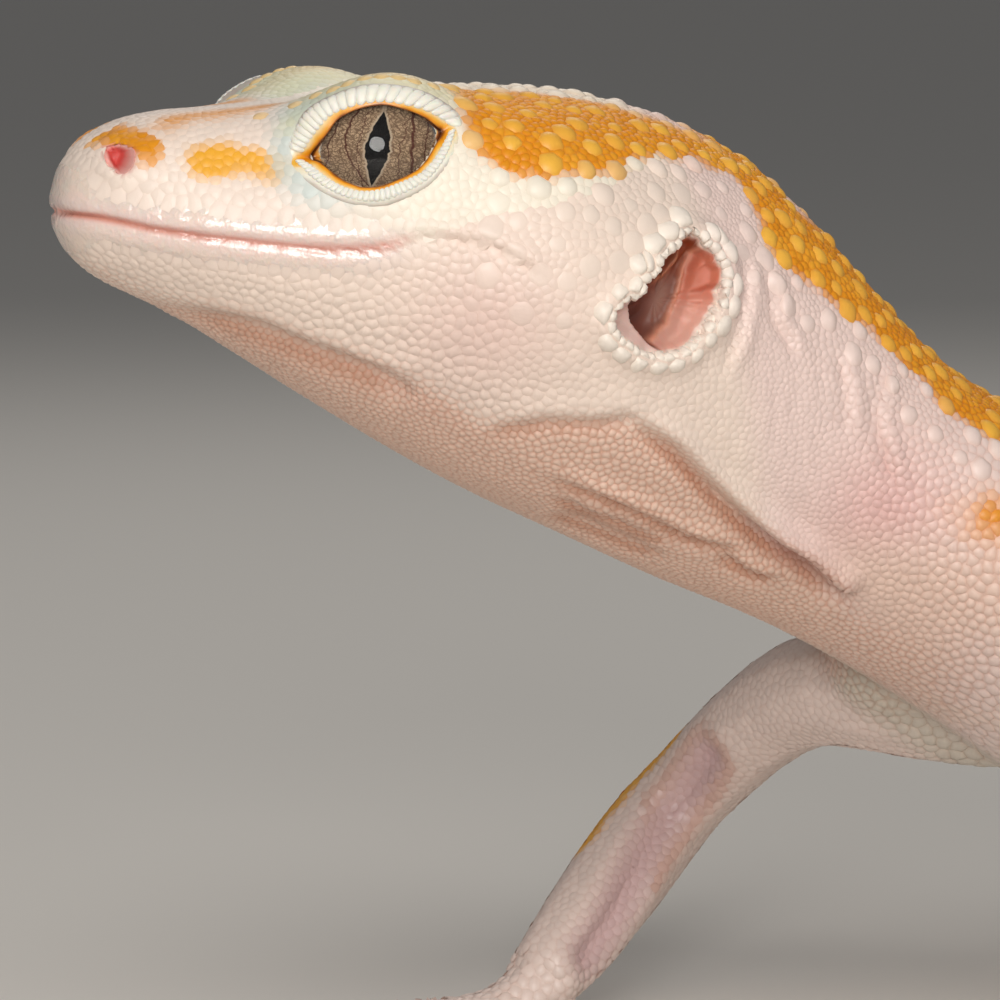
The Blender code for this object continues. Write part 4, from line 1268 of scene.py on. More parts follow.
def outer_skin(surface, places, way):
    """The skin's outermost points on lines through the given places."""
    found = []
    for place in places:
        hit = surface.tree.ray_cast((place + way * FAR).tolist(), (-way).tolist(), FAR * 2)
        found.append(np.array(hit[0]) if hit[0] is not None else place)
    return np.array(found)


def stepped_along(line, pitch, closed=False):
    """Places a pitch apart along a line of points, with the direction of the line at each."""
    line = np.vstack([line, line[:1]]) if closed else np.array(line, dtype=float)
    run = run_along(line)
    count = max(2, int(round(run[-1] / pitch)))
    at = (np.arange(count) + 0.5) * run[-1] / count
    places, behind, before = (np.column_stack([np.interp(at + shift, run, values) for values in line.T])
                              for shift in (0, -0.05, 0.05))
    return places, unit(before - behind)


def rim_scales(surface, rng):
    """Fixed scales on both sides: the ragged beads of the ear's rim and the row over the eye."""
    places, radii, kinds = [], [], []
    edge, ahead = stepped_along(np.array(EAR_EDGE), 0.40, closed=True)
    out = np.column_stack([-ahead[:, 1], ahead[:, 0]])
    high = step_up(edge @ (0.35, 0.94), 42.0, 43.5)  # the top and the rear of the opening have the bigger beads
    row = closed_curve(LID_RING, 96)
    row = row[(row[:, 1] > 1.2) & (row[:, 0] < 3.0)]
    brow, ahead = stepped_along(row[np.argsort(row[:, 0])], 0.70)
    brow = brow + (0.62 + 0.30 * bell(brow[:, :1] - 0.2, 2.0)) * np.column_stack([-ahead[:, 1], ahead[:, 0]])
    for _, side in SIDES:
        flip = np.array([1, side, 1])
        for chosen, shift, size in ((slice(None), 0.17 + 0.06 * high, 0.25 + 0.06 * high),
                                    (slice(1, None, 2), 0.62 + 0.2 * high, 0.34 + 0.14 * high)):
            spots = np.insert((edge + out * shift[:, None])[chosen], 1, 0, axis=1)
            places.append(outer_skin(surface, spots, np.array([0, side, 0])))
            radii.append(size[chosen] * (1 + 0.3 * rng.random(len(spots))))
            kinds.append(np.full(len(spots), EAR_BEAD))
        for a, b in brow:
            way = (unit(np.array([a, b, max(0.3, 16 - a * a - b * b) ** 0.5])) @ EYE["frame"]) * flip
            places.append(outer_skin(surface, [EYE["centre"] * flip], way))
        radii.append(np.full(len(brow), 0.31))
        kinds.append(np.full(len(brow), BROW))
    return np.vstack(places), np.concatenate(radii), np.concatenate(kinds)


def laid_out(surface, coarse, rng):
    """Places, normals, radii and kinds of all the scales: fixed tubercles and rims, and free ones between."""

    def pitch_of(points, normals):
        return scale_sizes(points, normals)[0] * coarse

    def radii_of(points, normals):
        return pitch_of(points, normals) / 2

    bumps = scattered(surface, tubercle_pitch, rng, np.zeros((0, 3)), np.zeros(0))
    rims, rim_radii, rim_kinds = rim_scales(surface, rng)
    bumps = bumps[[np.linalg.norm(rims - place, axis=1).min() >= RIM_CLEAR for place in bumps]]
    spread = (0.34 + 0.22 * rng.random(len(bumps))) * np.where(bumps[:, 0] > 46, 1.25, 1.0)
    fixed, fixed_normals = surface.land(np.vstack([bumps, rims]))
    spread = np.concatenate([spread, rim_radii])
    free = scattered(surface, pitch_of, rng, fixed, spread)
    free, normals = settled(surface, free, radii_of, fixed, spread)
    free, normals = free[~bare(free)], normals[~bare(free)]
    kinds = [np.full(len(free), FREE), np.full(len(bumps), TUBERCLE), rim_kinds]
    return (np.vstack([free, fixed]), np.vstack([normals, fixed_normals]),
            np.concatenate([radii_of(free, normals), spread]), np.concatenate(kinds))


def scale_shapes(places, normals, radii, kind, relief):
    """Height, flatness, lean and the other measures that shape each scale."""
    _, height, flat = scale_sizes(places, normals)
    height = 2 * radii * height * (1 + 0.15 * lattice_noise(places, 0.5, 9))
    bold = 0.13 + 0.27 * np.maximum(step_up(beside_line(places, NAPE_LOW)[0], -1.5, 0.0),
                                    step_up(places[:, 0], 28, 34))
    height = np.where(kind == TUBERCLE, radii * (bold + 0.1 * lattice_noise(places, 0.9, 4)), height)
    height = np.where(kind == EAR_BEAD, radii * 0.45, np.where(kind == BROW, radii * 0.35, height)) * relief
    return {"normals": normals, "near": neighbours(places, CELL_NEAR), "height": height,
            "cap": np.choose(kind, CAPS), "flat": np.choose(kind, [flat, 0.1, 0.2, 0.2]),
            "lean": np.where(kind == FREE, 0.25 * step_up(places[:, 0], 32, 44), 0.0)}


def scale_hues(places, normals, kind, rng):
    """The colour of each scale: the markings, a little uneven, and paler or yellower tubercles and rims."""
    colours = markings(places, normals)
    colours = colours * (1 + 0.018 * rng.standard_normal(len(places)))[:, None]
    orange = np.clip((colours[:, 0] - colours[:, 2]) / 0.5 - 0.55, 0, 1)
    raised = (colours + (HUES["yellow"] - colours) * (0.40 * orange)[:, None]
              + (HUES["ivory"] - colours) * (0.10 * (1 - orange))[:, None])
    kind = kind[:, None]
    colours = np.where(kind == TUBERCLE, raised, colours)
    colours = np.where(kind == EAR_BEAD, colours * 0.5 + HUES["ivory"] * 0.5, colours)
    return np.where(kind == BROW, colours * 0.3 + HUES["brow row"] * 0.7, colours)


RIM_CLEAR = 0.7  # no tubercle grows nearer than this to a rim
REGIONS = {"snout": (-9, 10), "face": (10, 18), "temple": (18, 25), "nape": (25, 32), "neck": (32, 40),
           "shoulder": (40, 54), "trunk": (54, 80), "hip": (80, 108), "tail": (108, 200)}
COAT_SLOTS = {"snout": "skin_head", "face": "skin_head", "temple": "skin_head", "tail": "skin_tail",
              "forelegs": "skin_leg", "hindlegs": "skin_leg"}


class GECKO_OT_scales(bpy.types.Operator):
    """Cover the skin with closed, solid scales and tubercles"""
    bl_idname = "gecko.scales"
    bl_label = "Scales"

    def execute(self, context):
        settings = context.scene.gecko_scales
        rng = np.random.default_rng(settings.seed)
        surface = Surface()
        coarse = settings.coarseness * 1.0
        places, normals, radii, kind = laid_out(surface, coarse, rng)
        data = scale_shapes(places, normals, radii, kind, settings.relief)
        colours = scale_hues(places, normals, kind, rng)
        # The colours at each scale's foot, darker and warmer: painted shade of the crevices.
        seam_shades = colours * (1 - crevice_shade(places)[:, None] * (1 - CREVICE_SHADE))
        material = scale_material("keratin scales over pink skin")
        x = places[:, 0]
        legs = (limb_share(places) > 0.5) & (kind == FREE)
        groups = {name: ~legs & (x >= start) & (x < end) for name, (start, end) in REGIONS.items()}
        groups["forelegs"], groups["hindlegs"] = legs & (x < 70), legs & (x >= 70)
        sides_of = np.where(radii < 0.27, SMALL, np.where(radii < 0.37, MEDIUM, LARGE))
        sides_of = np.where((x > 50) | legs, np.where(kind == TUBERCLE, MEDIUM, SMALL), sides_of)
        for name, inside in groups.items():
            chosen = {sides: np.nonzero(inside & (sides_of == sides))[0] for sides in (SMALL, MEDIUM, LARGE)}
            parts = [scale_cells(surface, data, places, radii, numbers, sides)
                     for sides, numbers in chosen.items() if len(numbers)]
            slot_name = COAT_SLOTS.get(name, "skin_body")
            coat_piece("scales_" + name, parts, places, colours, seam_shades, material, slot_name)
        return {"FINISHED"}


# ---------------------------------------------------------------- eyes and lids

IRIS_APEX, IRIS_CURVE, IRIS_EDGE = 2.85, 4.2, 2.72
IRIS_RISE = 0.165  # the iris sits this much above the middle of the eye
CORNEA_RADIUS, CORNEA_TALL = 3.46, 0.78  # the cornea's height is this share of its length
CORNEA_ROWS, EYE_STEPS = 30, 96
IRIS_MAP = 8.0  # the iris's UV square is this many millimetres wide


def eye_place(flat, side):
    """Places from along, up and out coordinates about one eye."""
    return (EYE["centre"] + flat @ EYE["frame"]) * (1, side, 1)


def turned_faces(faces, side):
    """Faces built for the right-hand side, turned round when they are used on the left."""
    return faces if side > 0 else faces[:, ::-1]


def spun(profile, count):
    """Points and triangles of a profile of (radius, height) spun round the out axis, poles closed."""
    turn = 2 * np.pi * np.arange(count) / count
    rings = [np.column_stack([radius * np.cos(turn), radius * np.sin(turn), np.full(count, height)])
             for radius, height in profile[1:-1]]
    return lofted([[[0, 0, profile[0][1]]], *rings, [[0, 0, profile[-1][1]]]])


def outward(points, faces):
    """Faces turned so that a closed shell's volume is positive."""
    a, b, c = (points[faces[:, k]] for k in range(3))
    return faces if np.einsum("ij,ij->", a, np.cross(b, c)) > 0 else faces[:, ::-1]


def eye_profile():
    radii = np.linspace(0, IRIS_EDGE, 34)
    front = [(r, IRIS_APEX - (IRIS_CURVE - math.sqrt(IRIS_CURVE ** 2 - r * r))) for r in radii]
    return front + [(IRIS_EDGE, 1.6), (2.5, 0.9), (2.0, 0.4), (1.2, 0.1), (0, 0)]


def cornea_profile():
    front = [(CORNEA_RADIUS * math.sin(t), CORNEA_RADIUS * math.cos(t))
             for t in np.linspace(0, 1.03, CORNEA_ROWS)]
    return front + [(2.9, 1.5), (2.75, 1.3), (2.2, 0.6), (1.2, 0.0), (0, -0.1)]


class Maths:
    """Short arithmetic on a material's values."""

    def __init__(self, material):
        self.material = material

    def node(self, kind, settings, given, kinds, fixed=lambda value: value):
        """A node whose inputs take fixed values of the given kinds, and links from the rest."""
        values = {k: fixed(value) for k, value in given.items() if isinstance(value, kinds)}
        links = {k: output for k, output in given.items() if k not in values}
        return add_node(self.material, kind, {**settings, **values}, links)

    def __call__(self, operation, *values):
        given = dict(enumerate(values))
        return self.node("ShaderNodeMath", {"operation": operation}, given, (int, float)).outputs[0]

    def fade(self, value, low, high):
        """1 below low and 0 above high."""
        settings = {"interpolation_type": "SMOOTHSTEP", "From Min": low, "From Max": high,
                    "To Min": 1.0, "To Max": 0.0}
        return add_node(self.material, "ShaderNodeMapRange", settings, {"Value": value}).outputs["Result"]

    def mix(self, share, first, second):
        """Between two colours, each a hex code or an output; 0, 6 and 7 are the sockets of a colour mix."""
        return self.node("ShaderNodeMix", {"data_type": "RGBA"}, {0: share, 6: first, 7: second}, str,
                         lambda code: (*linear(code), 1)).outputs[2]


PUPIL_TURN = math.radians(19.7)  # how far the slit leans, its top to the rear
# Each vein: place, slope and bend across the iris, swing, pace and offset of its wander, width.
VEINS = ((-1.38, -0.21, 0.33, 0.10, 1.4, 1.3, 0.042), (1.47, -0.13, 0.0, 0.08, 1.6, 4.1, 0.058),
         (-2.02, 0.1, 0.1, 0.12, 1.2, 7.7, 0.024), (2.02, -0.1, 0.0, 0.12, 1.5, 9.2, 0.024),
         (0.95, 0.0, 0.1, 0.16, 1.4, 6.1, 0.018), (-0.85, 0.0, 0.15, 0.14, 1.7, 3.3, 0.018))


def iris_material(name):
    """Folded brown iris tissue under a clear cornea: a fine dark network, red veins, a slit pupil
    with a pale, scalloped edge."""
    made = new_material(name)
    maths = Maths(made)

    def noise(at, scale, detail, output="Fac", **more):
        return add_node(made, "ShaderNodeTexNoise", {"Scale": scale, "Detail": detail, **more},
                        {"Vector": at.outputs[0]}).outputs[output]

    uv = add_node(made, "ShaderNodeUVMap", {"uv_map": "iris"})
    middle = {"Location": (-IRIS_MAP / 2, -IRIS_MAP / 2, 0), "Scale": (IRIS_MAP, IRIS_MAP, 1)}
    centred = add_node(made, "ShaderNodeMapping", middle, {"Vector": uv.outputs["UV"]})
    across, up, _ = add_node(made, "ShaderNodeSeparateXYZ", links={"Vector": centred.outputs[0]}).outputs
    bent = add_node(made, "ShaderNodeVectorMath", {"operation": "MULTIPLY_ADD", 1: (0.42, 0.42, 0)},
                    {0: noise(centred, 2.6, 3.0, "Color"), 2: centred.outputs[0]})
    stretched = add_node(made, "ShaderNodeMapping", {"Scale": (4.6, 8.5, 1)}, {"Vector": bent.outputs[0]})
    net = add_node(made, "ShaderNodeTexVoronoi", {"feature": "DISTANCE_TO_EDGE", "Scale": 1.0},
                   {"Vector": stretched.outputs[0]})
    ridge = maths("ABSOLUTE", maths("SUBTRACT", noise(bent, 11.0, 4.0, Roughness=0.65), 0.5))
    lines = maths("MAXIMUM", maths("MULTIPLY", maths.fade(net.outputs["Distance"], 0.03, 0.17), 0.85),
                  maths("MULTIPLY", maths.fade(ridge, 0.008, 0.045), 0.8))
    colour = maths.mix(noise(centred, 1.3, 2.0), "#AE9276", "#CCB18F")
    colour = maths.mix(maths("MULTIPLY", lines, 0.90), colour, "#482C1C")
    for place, slope, bend, swing, pace, offset, width in VEINS:
        at = add_node(made, "ShaderNodeCombineXYZ", {"X": offset}, {"Y": maths("MULTIPLY", up, pace)})
        curve = maths("MULTIPLY_ADD", maths("SUBTRACT", noise(at, 1.6, 2.0), 0.5), swing * 4, place)
        curve = maths("ADD", curve, maths("MULTIPLY", up, maths("MULTIPLY_ADD", up, bend, slope)))
        away = maths("ABSOLUTE", maths("SUBTRACT", across, curve))
        vein = maths("MULTIPLY", maths.fade(away, width * 0.5, width * 1.6), 0.85)
        colour = maths.mix(vein, colour, "#4A1712")
    # Pupil: a slit, widest a little below the middle, with a scalloped edge.
    reach = maths("MULTIPLY", maths("ABSOLUTE", maths("SUBTRACT", up, -0.05)), 1 / 1.60)
    body = maths("SUBTRACT", 1.0, maths("POWER", maths("MINIMUM", reach, 1.0), 1.65))
    nibble = add_node(made, "ShaderNodeCombineXYZ", {"X": 3.0},
                      {"Y": up, "Z": maths("MULTIPLY", maths("SIGN", across), 5.0)})
    notch = maths("SUBTRACT", noise(nibble, 4.2, 2.5), 0.5)
    half = maths("MULTIPLY", body, maths("MULTIPLY_ADD", notch, 0.34, 0.50))
    edge = maths("SUBTRACT", maths("ABSOLUTE", across), half)
    colour = maths.mix(maths("MULTIPLY", maths.fade(edge, 0.05, 0.13), 0.8), colour, "#C3B199")
    colour = maths.mix(maths.fade(edge, -0.012, 0.012), colour, "#050303")
    rim = maths("SQRT", maths("ADD", maths("POWER", across, 2.0), maths("POWER", up, 2.0)))
    colour = maths.mix(maths.fade(rim, 2.35, 2.75), "#1A1210", colour)
    bump = add_node(made, "ShaderNodeBump", {"Strength": 0.6, "Distance": 0.00004},
                    {"Height": maths("SUBTRACT", 1.0, lines)})
    return principled(made, {"Roughness": 0.6, "Specular IOR Level": 0.2},
                      {"Base Color": colour, "Normal": bump.outputs["Normal"]})


def cornea_material(name):
    """Clear wet cornea: invisible but for its reflections."""
    made = new_material(name)
    fresnel = add_node(made, "ShaderNodeFresnel", {"IOR": 1.376})
    clear = add_node(made, "ShaderNodeBsdfTransparent")
    gloss = add_node(made, "ShaderNodeBsdfGlossy", {"Roughness": 0.03})
    layers = {0: fresnel.outputs[0], 1: clear.outputs[0], 2: gloss.outputs[0]}
    surface_to(made, add_node(made, "ShaderNodeMixShader", links=layers))
    return made


class GECKO_OT_eyes(bpy.types.Operator):
    """Make both eyes: a folded iris with a slit pupil on the globe, and a clear cornea"""
    bl_idname = "gecko.eyes"
    bl_label = "Eyes"

    def execute(self, context):
        iris_look, cornea_look = iris_material("folded iris tissue"), cornea_material("clear wet cornea")
        for name, side in SIDES:
            flat, faces = spun(eye_profile(), EYE_STEPS)
            faces = turned_faces(outward(flat, faces), side)
            mesh = fresh_mesh("iris_" + name, eye_place(flat + (0, IRIS_RISE, 0), side), faces)
            a, b = math.cos(PUPIL_TURN), math.sin(PUPIL_TURN)
            spots = flat[faces.ravel()][:, :2] @ ((a, b), (-b, a)) / IRIS_MAP + 0.5
            mesh.uv_layers.new(name="iris").data.foreach_set("uv", spots.astype(np.float32).ravel())
            add_piece("iris_" + name, mesh, "eye", ["eye_" + name], iris_look)
            flat, faces = spun(cornea_profile(), EYE_STEPS)
            flat = flat * (1, CORNEA_TALL, 1)
            front = np.arange(len(flat)) < 1 + (CORNEA_ROWS - 1) * EYE_STEPS
            flat[front, 2] = np.sqrt(CORNEA_RADIUS ** 2 - (flat[front, :2] ** 2).sum(axis=1))
            faces = turned_faces(outward(flat, faces), side)
            add_piece("cornea_" + name, fresh_mesh("cornea_" + name, eye_place(flat, side), faces), "eye",
                      material=cornea_look)
        return {"FINISHED"}


LID_STEPS = 192
LID_REACH = 3.53  # the lids' edge lies this far from the eye's centre, just clear of the cornea
LID_FAR = 12.0  # rays that find the skin round the eye start this far out
LID_SMOOTH = 2
# Across a lid from its edge to its ring: share of the way, and how far it stands out there.
LID_PROFILE = ((-0.5, 0.0), (-0.15, 0.0), (0.0, 0.0), (0.05, 0.03), (0.12, 0.05), (0.22, 0.07), (0.36, 0.09),
               (0.52, 0.10), (0.68, 0.10), (0.82, 0.07), (0.92, 0.02), (0.98, -0.08))
# The near-black at -0.5, down the wall under the lids' edge into the eye, is painted shade; the dark brown at
# the edge is the margin's own colour.
LID_HUES = ((-0.5, "#1A0C06"), (-0.10, "#3C1C08"), (0.01, "#7A3C08"), (0.05, "#D08008"), (0.11, "#EFA014"),
            (0.19, "#F0B848"), (0.30, "#F2E2C0"), (0.72, "#F1ECDF"), (0.86, "#D3C8BC"), (1.1, "#C4B7AC"))


def matched_loops(first, second):
    """Two loops with equal numbers of points, matched at their front and rear corners."""
    made = []
    for loop in (first, second):
        fine = closed_curve(loop, 1536)
        rear = int(np.argmax(fine[:, 0]))
        halves = [fine[:rear + 1], np.vstack([fine[rear:], fine[:1]])]
        rows = []
        for half in halves:
            run = run_along(half)
            at = np.linspace(0, run[-1], LID_STEPS // 2, endpoint=False)
            rows.append(np.column_stack([np.interp(at, run, half[:, k]) for k in (0, 1)]))
        made.append(np.vstack(rows))
    return made


class Lid:
    """The surface of both lids of one eye, in the eye's own frame."""

    def __init__(self, surface, side):
        edge, ring = matched_loops(LID_EDGE, LID_RING)
        flip = np.array([1, side, 1])
        depth = []
        for a, b in ring:
            hit = surface.tree.ray_cast(eye_place(np.array([a, b, LID_FAR]), side).tolist(),
                                        (-EYE["frame"][2] * flip).tolist(), LID_FAR + 2)
            depth.append(LID_FAR - hit[3] if hit[0] is not None else 2.5)
        depth = smoothed(np.clip(np.array(depth), 0.5, 4.4), LID_SMOOTH, wrap=True)
        self.edge = np.column_stack([edge, np.sqrt(LID_REACH ** 2 - (edge ** 2).sum(axis=1))])
        proud = smoothed(np.maximum(depth, self.edge[:, 2] - 0.42), LID_SMOOTH, wrap=True)
        self.across = np.column_stack([ring, proud]) - self.edge
        self.foot = np.column_stack([ring * 1.01, depth - 0.12])
        ahead = np.roll(self.edge, -2, axis=0) - np.roll(self.edge, 2, axis=0)
        self.out = smoothed(unit(np.cross(self.across, ahead)), LID_SMOOTH, wrap=True)
        self.out = unit(self.out * np.sign(self.out[:, 2:]) + (0, 0, 1))

    def rows(self):
        """The rows of points of the band, from under the eye's edge to the skin."""
        made = []
        for share, lift in LID_PROFILE:
            if share < 0:
                made.append(self.edge + (0, 0, share))
            else:
                made.append(self.edge + self.across * share + self.out * lift)
        return [*made, self.foot, self.foot - (0, 0, 0.4)]

    def place(self, number, share, lift=0.0):
        """Points for broken numbers along the loop, at shares of the way across, lifted off the band."""
        number, share = np.asarray(number, dtype=float), np.asarray(share, dtype=float)
        low, part = np.floor(number).astype(int) % LID_STEPS, (number % 1)[..., None]
        edge, across, out = (row[low] * (1 - part) + row[(low + 1) % LID_STEPS] * part
                             for row in (self.edge, self.across, self.out))
        lift = np.interp(share, *np.array(LID_PROFILE).T) + lift
        return edge + across * share[..., None] + out * lift[..., None]


def comb_widths(lid):
    """Where each comb scale sits round the lids: number along the loop, width, length, middle share."""
    at, made = 1.0, []
    while at < LID_STEPS - 1:
        step = np.linalg.norm(lid.place(at + 0.5, 0.5) - lid.place(at - 0.5, 0.5))
        along, upper = lid.edge[int(at)][0], at < LID_STEPS / 2
        widths = [0.22, 0.30, 0.44, 0.44, 0.36] if upper else [0.20, 0.23, 0.24, 0.24, 0.22]
        width = np.interp(along, [-2.8, -1.6, -0.6, 1.6, 2.5], widths)
        starts = [0.34, 0.26, 0.12, 0.10, 0.20, 0.36] if upper else [0.36, 0.24, 0.12, 0.13, 0.24, 0.34]
        start = np.interp(along, [-2.9, -1.5, -0.3, 0.8, 1.8, 2.7], starts)
        if along > -2.78:
            made.append((at, width / step, start, 1.01 if upper else 0.70, 0.14 if upper else 0.11))
        at += width / step
    return np.array(made)


COMB_SIDES, COMB_RINGS = 18, (0.25, 0.5, 0.72, 0.88, 0.97)


def comb_scales(lid):
    """The comb of one eye: rounded scales side by side, each bent to the lid that it grows on."""
    rows = comb_widths(lid)
    turn = 2 * np.pi * (np.arange(COMB_SIDES) + 0.5) / COMB_SIDES
    outline = np.column_stack([np.sign(np.cos(turn)) * np.abs(np.cos(turn)) ** 0.72,
                               np.sign(np.sin(turn)) * np.abs(np.sin(turn)) ** 0.72])
    domed = [(ring, math.sqrt(1 - ring ** 2.6)) for ring in COMB_RINGS]
    levels = [(0.0, 1.0), *domed, (1.0, -0.3), (0.0, -0.6)]
    points, faces, count = [], [], 0
    for at, width, start, end, height in rows:
        lean = 0.35 * width * (end > 0.9)
        shells = []
        for ring, level in levels:
            spots = outline * ring if ring else np.zeros((1, 2))
            across = at + spots[:, 0] * width * 0.60 + spots[:, 1] * lean
            share = (start + end) / 2 + spots[:, 1] * (end - start) / 2
            shells.append(lid.place(across, share, height * (level * (1 + 0.25 * spots[:, 1]))))
        shell, shell_faces = lofted(shells)
        points.append(shell)
        faces.append(shell_faces + count)
        count += len(shell)
    points, faces = np.vstack(points), np.vstack(faces)
    return points, outward(points, faces)


def outward_band(flat, faces):
    """Faces of a ring-shaped band turned so that its front looks out of the eye."""
    a, b, c = (flat[faces[:, k]] for k in range(3))
    across = np.cross(b - a, c - a)
    front = a[:, 2] > np.median(a[:, 2])
    return faces if across[front, 2].sum() > 0 else faces[:, ::-1]


def lid_material(name):
    """Moist skin of a rolled lid, satin with a wet glint at its edge."""
    made = new_material(name)
    colour = stored(made, "markings")["Color"]
    return glowing(made, colour, 0.36, 0.2, (1.0, 0.4, 0.2), (7000.0, 3.0, 0.4, 0.00003))


def comb_material(name):
    """Smooth ivory horn: bright, close-grained, with a soft glow through its thin edges."""
    made = new_material(name)
    colour = Maths(made).mix(cloudy(made, 1800.0, 2.0), "#EDE6D6", "#F8F4EA")
    return glowing(made, colour, 0.45, 0.3, (1.0, 0.6, 0.35), (8000.0, 2.0, 0.2, 0.00002))


class GECKO_OT_lids(bpy.types.Operator):
    """Make the thick rolled lids with their bright margin and their fringe of comb scales"""
    bl_idname = "gecko.lids"
    bl_label = "Lids"

    def execute(self, context):
        surface = Surface()
        rolled, comb = lid_material("rolled lid margin"), comb_material("ivory comb scales")
        stops = np.array([share for share, _ in LID_HUES])
        hues = np.array([linear(code) for _, code in LID_HUES])
        for name, side in SIDES:
            lid = Lid(surface, side)
            flat, faces = lofted(lid.rows(), closed=True)
            points = eye_place(flat, side)
            mesh = fresh_mesh("lid_" + name, points, turned_faces(outward_band(flat, faces), side))
            share = np.repeat([*(share for share, _ in LID_PROFILE), 1.05, 1.1], LID_STEPS)
            corner = np.maximum(step_up(-flat[:, 0], 2.7, 3.1) * bell(flat[:, 1] - 0.15, 0.5),
                                0.8 * step_up(flat[:, 0], 2.3, 2.8) * bell(flat[:, 1] - 0.1, 0.8))
            share = (share * (1 - 0.8 * corner * (share > 0))
                     + 0.04 * lattice_noise(points, 0.3, 3) * (share > 0.04))
            point_colours(mesh, "markings", np.column_stack([np.interp(share, stops, hue) for hue in hues.T]))
            add_piece("lid_" + name, mesh, "skin_head", material=rolled)
            flat, faces = comb_scales(lid)
            mesh = fresh_mesh("lid_comb_" + name, eye_place(flat, side), turned_faces(faces, side))
            add_piece("lid_comb_" + name, mesh, "skin_head", material=comb)
        return {"FINISHED"}


# ---------------------------------------------------------------- claws

CLAW = (0.36, 0.95, 0.42)  # width, length and height
TOES, TOE_HIGH = 5, 1.6  # their number on a foot, and no toe is higher than this
TOE_GAP = 1.9  # toe tips lie at least this far apart


def repeat_tree(name):
    """Geometry Nodes that set a claw on every point, turned and sized by the point's own values."""
    tree = bpy.data.node_groups.new(name, "GeometryNodeTree")
    face = tree.interface
    for label, kind in (("Geometry", "Geometry"), ("Claw shape", "Object"), ("Lift", "Float"),
                        ("Material", "Material")):
        face.new_socket(label, in_out="INPUT", socket_type="NodeSocket" + kind)
    face.new_socket("Geometry", in_out="OUTPUT", socket_type="NodeSocketGeometry")
    given = add_node(tree, "NodeGroupInput").outputs
    shape = add_node(tree, "GeometryNodeObjectInfo", links={"Object": given["Claw shape"]})
    turn, size = (add_node(tree, "GeometryNodeInputNamedAttribute", {"data_type": "FLOAT_VECTOR", "Name": key})
                  for key in ("turn", "size"))
    lift = add_node(tree, "ShaderNodeCombineXYZ", {"X": 1.0, "Y": 1.0}, {"Z": given["Lift"]})
    sized = add_node(tree, "ShaderNodeVectorMath", {"operation": "MULTIPLY"},
                     {0: size.outputs["Attribute"], 1: lift.outputs[0]})
    turned = add_node(tree, "FunctionNodeEulerToRotation", links={0: turn.outputs["Attribute"]})
    placed = add_node(tree, "GeometryNodeInstanceOnPoints", links={
        "Points": given["Geometry"], "Instance": shape.outputs["Geometry"], "Rotation": turned.outputs[0],
        "Scale": sized.outputs[0]})
    real = add_node(tree, "GeometryNodeRealizeInstances", links={0: placed.outputs[0]})
    coloured = add_node(tree, "GeometryNodeSetMaterial", links={
        "Geometry": real.outputs[0], "Material": given["Material"]})
    add_node(tree, "NodeGroupOutput", links={0: coloured.outputs[0]})
    return tree


def on_points(name, places, turns, sizes, shape_mesh, material, lift=1.0):
    """A mesh of the shape repeated on points, made by the Geometry Nodes tree and then applied."""
    mesh = bpy.data.meshes.new(name)
    mesh.from_pydata([tuple(p) for p in to_metres(places)], [], [])
    for key, values in (("turn", turns), ("size", sizes)):
        layer = mesh.attributes.new(key, "FLOAT_VECTOR", "POINT")
        layer.data.foreach_set("vector", np.asarray(values, dtype=np.float32).ravel())
    thing, shape = add_object(name, mesh), add_object(name + "_shape", shape_mesh)
    modifier = thing.modifiers.new("repeat", "NODES")
    modifier.node_group = repeat_tree(name)
    inputs = {item.name: item.identifier for item in modifier.node_group.interface.items_tree
              if item.in_out == "INPUT"}
    for label, value in (("Claw shape", shape), ("Lift", lift), ("Material", material)):
        modifier[inputs[label]] = value
    made = evaluated(thing, name)
    bpy.data.objects.remove(shape)
    return made


def angles_of(across, ahead, up):
    """Euler angles that turn X, Y and Z to three directions each."""
    return np.array([Matrix(np.column_stack(axes).tolist()).to_euler()[:] for axes in zip(across, ahead, up)])


def claw_mesh(name):
    """A unit claw: a cone that leaves the toe level and bends down to its point, closed at both ends."""
    turn = 2 * np.pi * np.arange(12) / 12
    rows = [[[0, -0.3, 0]]]
    for share in np.linspace(0, 0.94, 9):
        size = 0.5 * (1 - share) ** 0.75
        centre = np.array([0, share * 1.3 - 0.3, 0.55 * share - 1.15 * share ** 2])
        rows.append(centre + np.column_stack([size * np.cos(turn), 0 * turn, size * np.sin(turn)]))
    points, faces = lofted([*rows, [[0, 1.0, -0.62]]])
    return fresh_mesh(name, from_metres(points), outward(points, faces))


def toe_tips(node):
    """Where each of a foot's five toes ends, and the way it points."""
    points, _ = solids([node])
    middle = points.mean(axis=0)
    reach = np.linalg.norm((points - middle)[:, :2], axis=1)
    reach = np.where(points[:, 2] < TOE_HIGH, reach, 0)
    tips = kept_apart(points, np.full(len(points), TOE_GAP), np.argsort(-reach))[:TOES]
    made = []
    for tip in points[tips]:
        near, back = (points[np.linalg.norm(points - tip, axis=1) < size].mean(axis=0) for size in (0.45, 2.2))
        made.append((near, unit((near - back) * (1, 1, 0) + (0, 0, -0.05))))
    return made


def claw_material(name):
    """Dry pale horn: a small clean highlight along the back of the claw."""
    made = new_material(name)
    return principled(made, {"Roughness": 0.32}, {
        "Base Color": Maths(made).mix(cloudy(made, 1500.0, 2.0), "#CDB9A6", "#E6D8C8")})


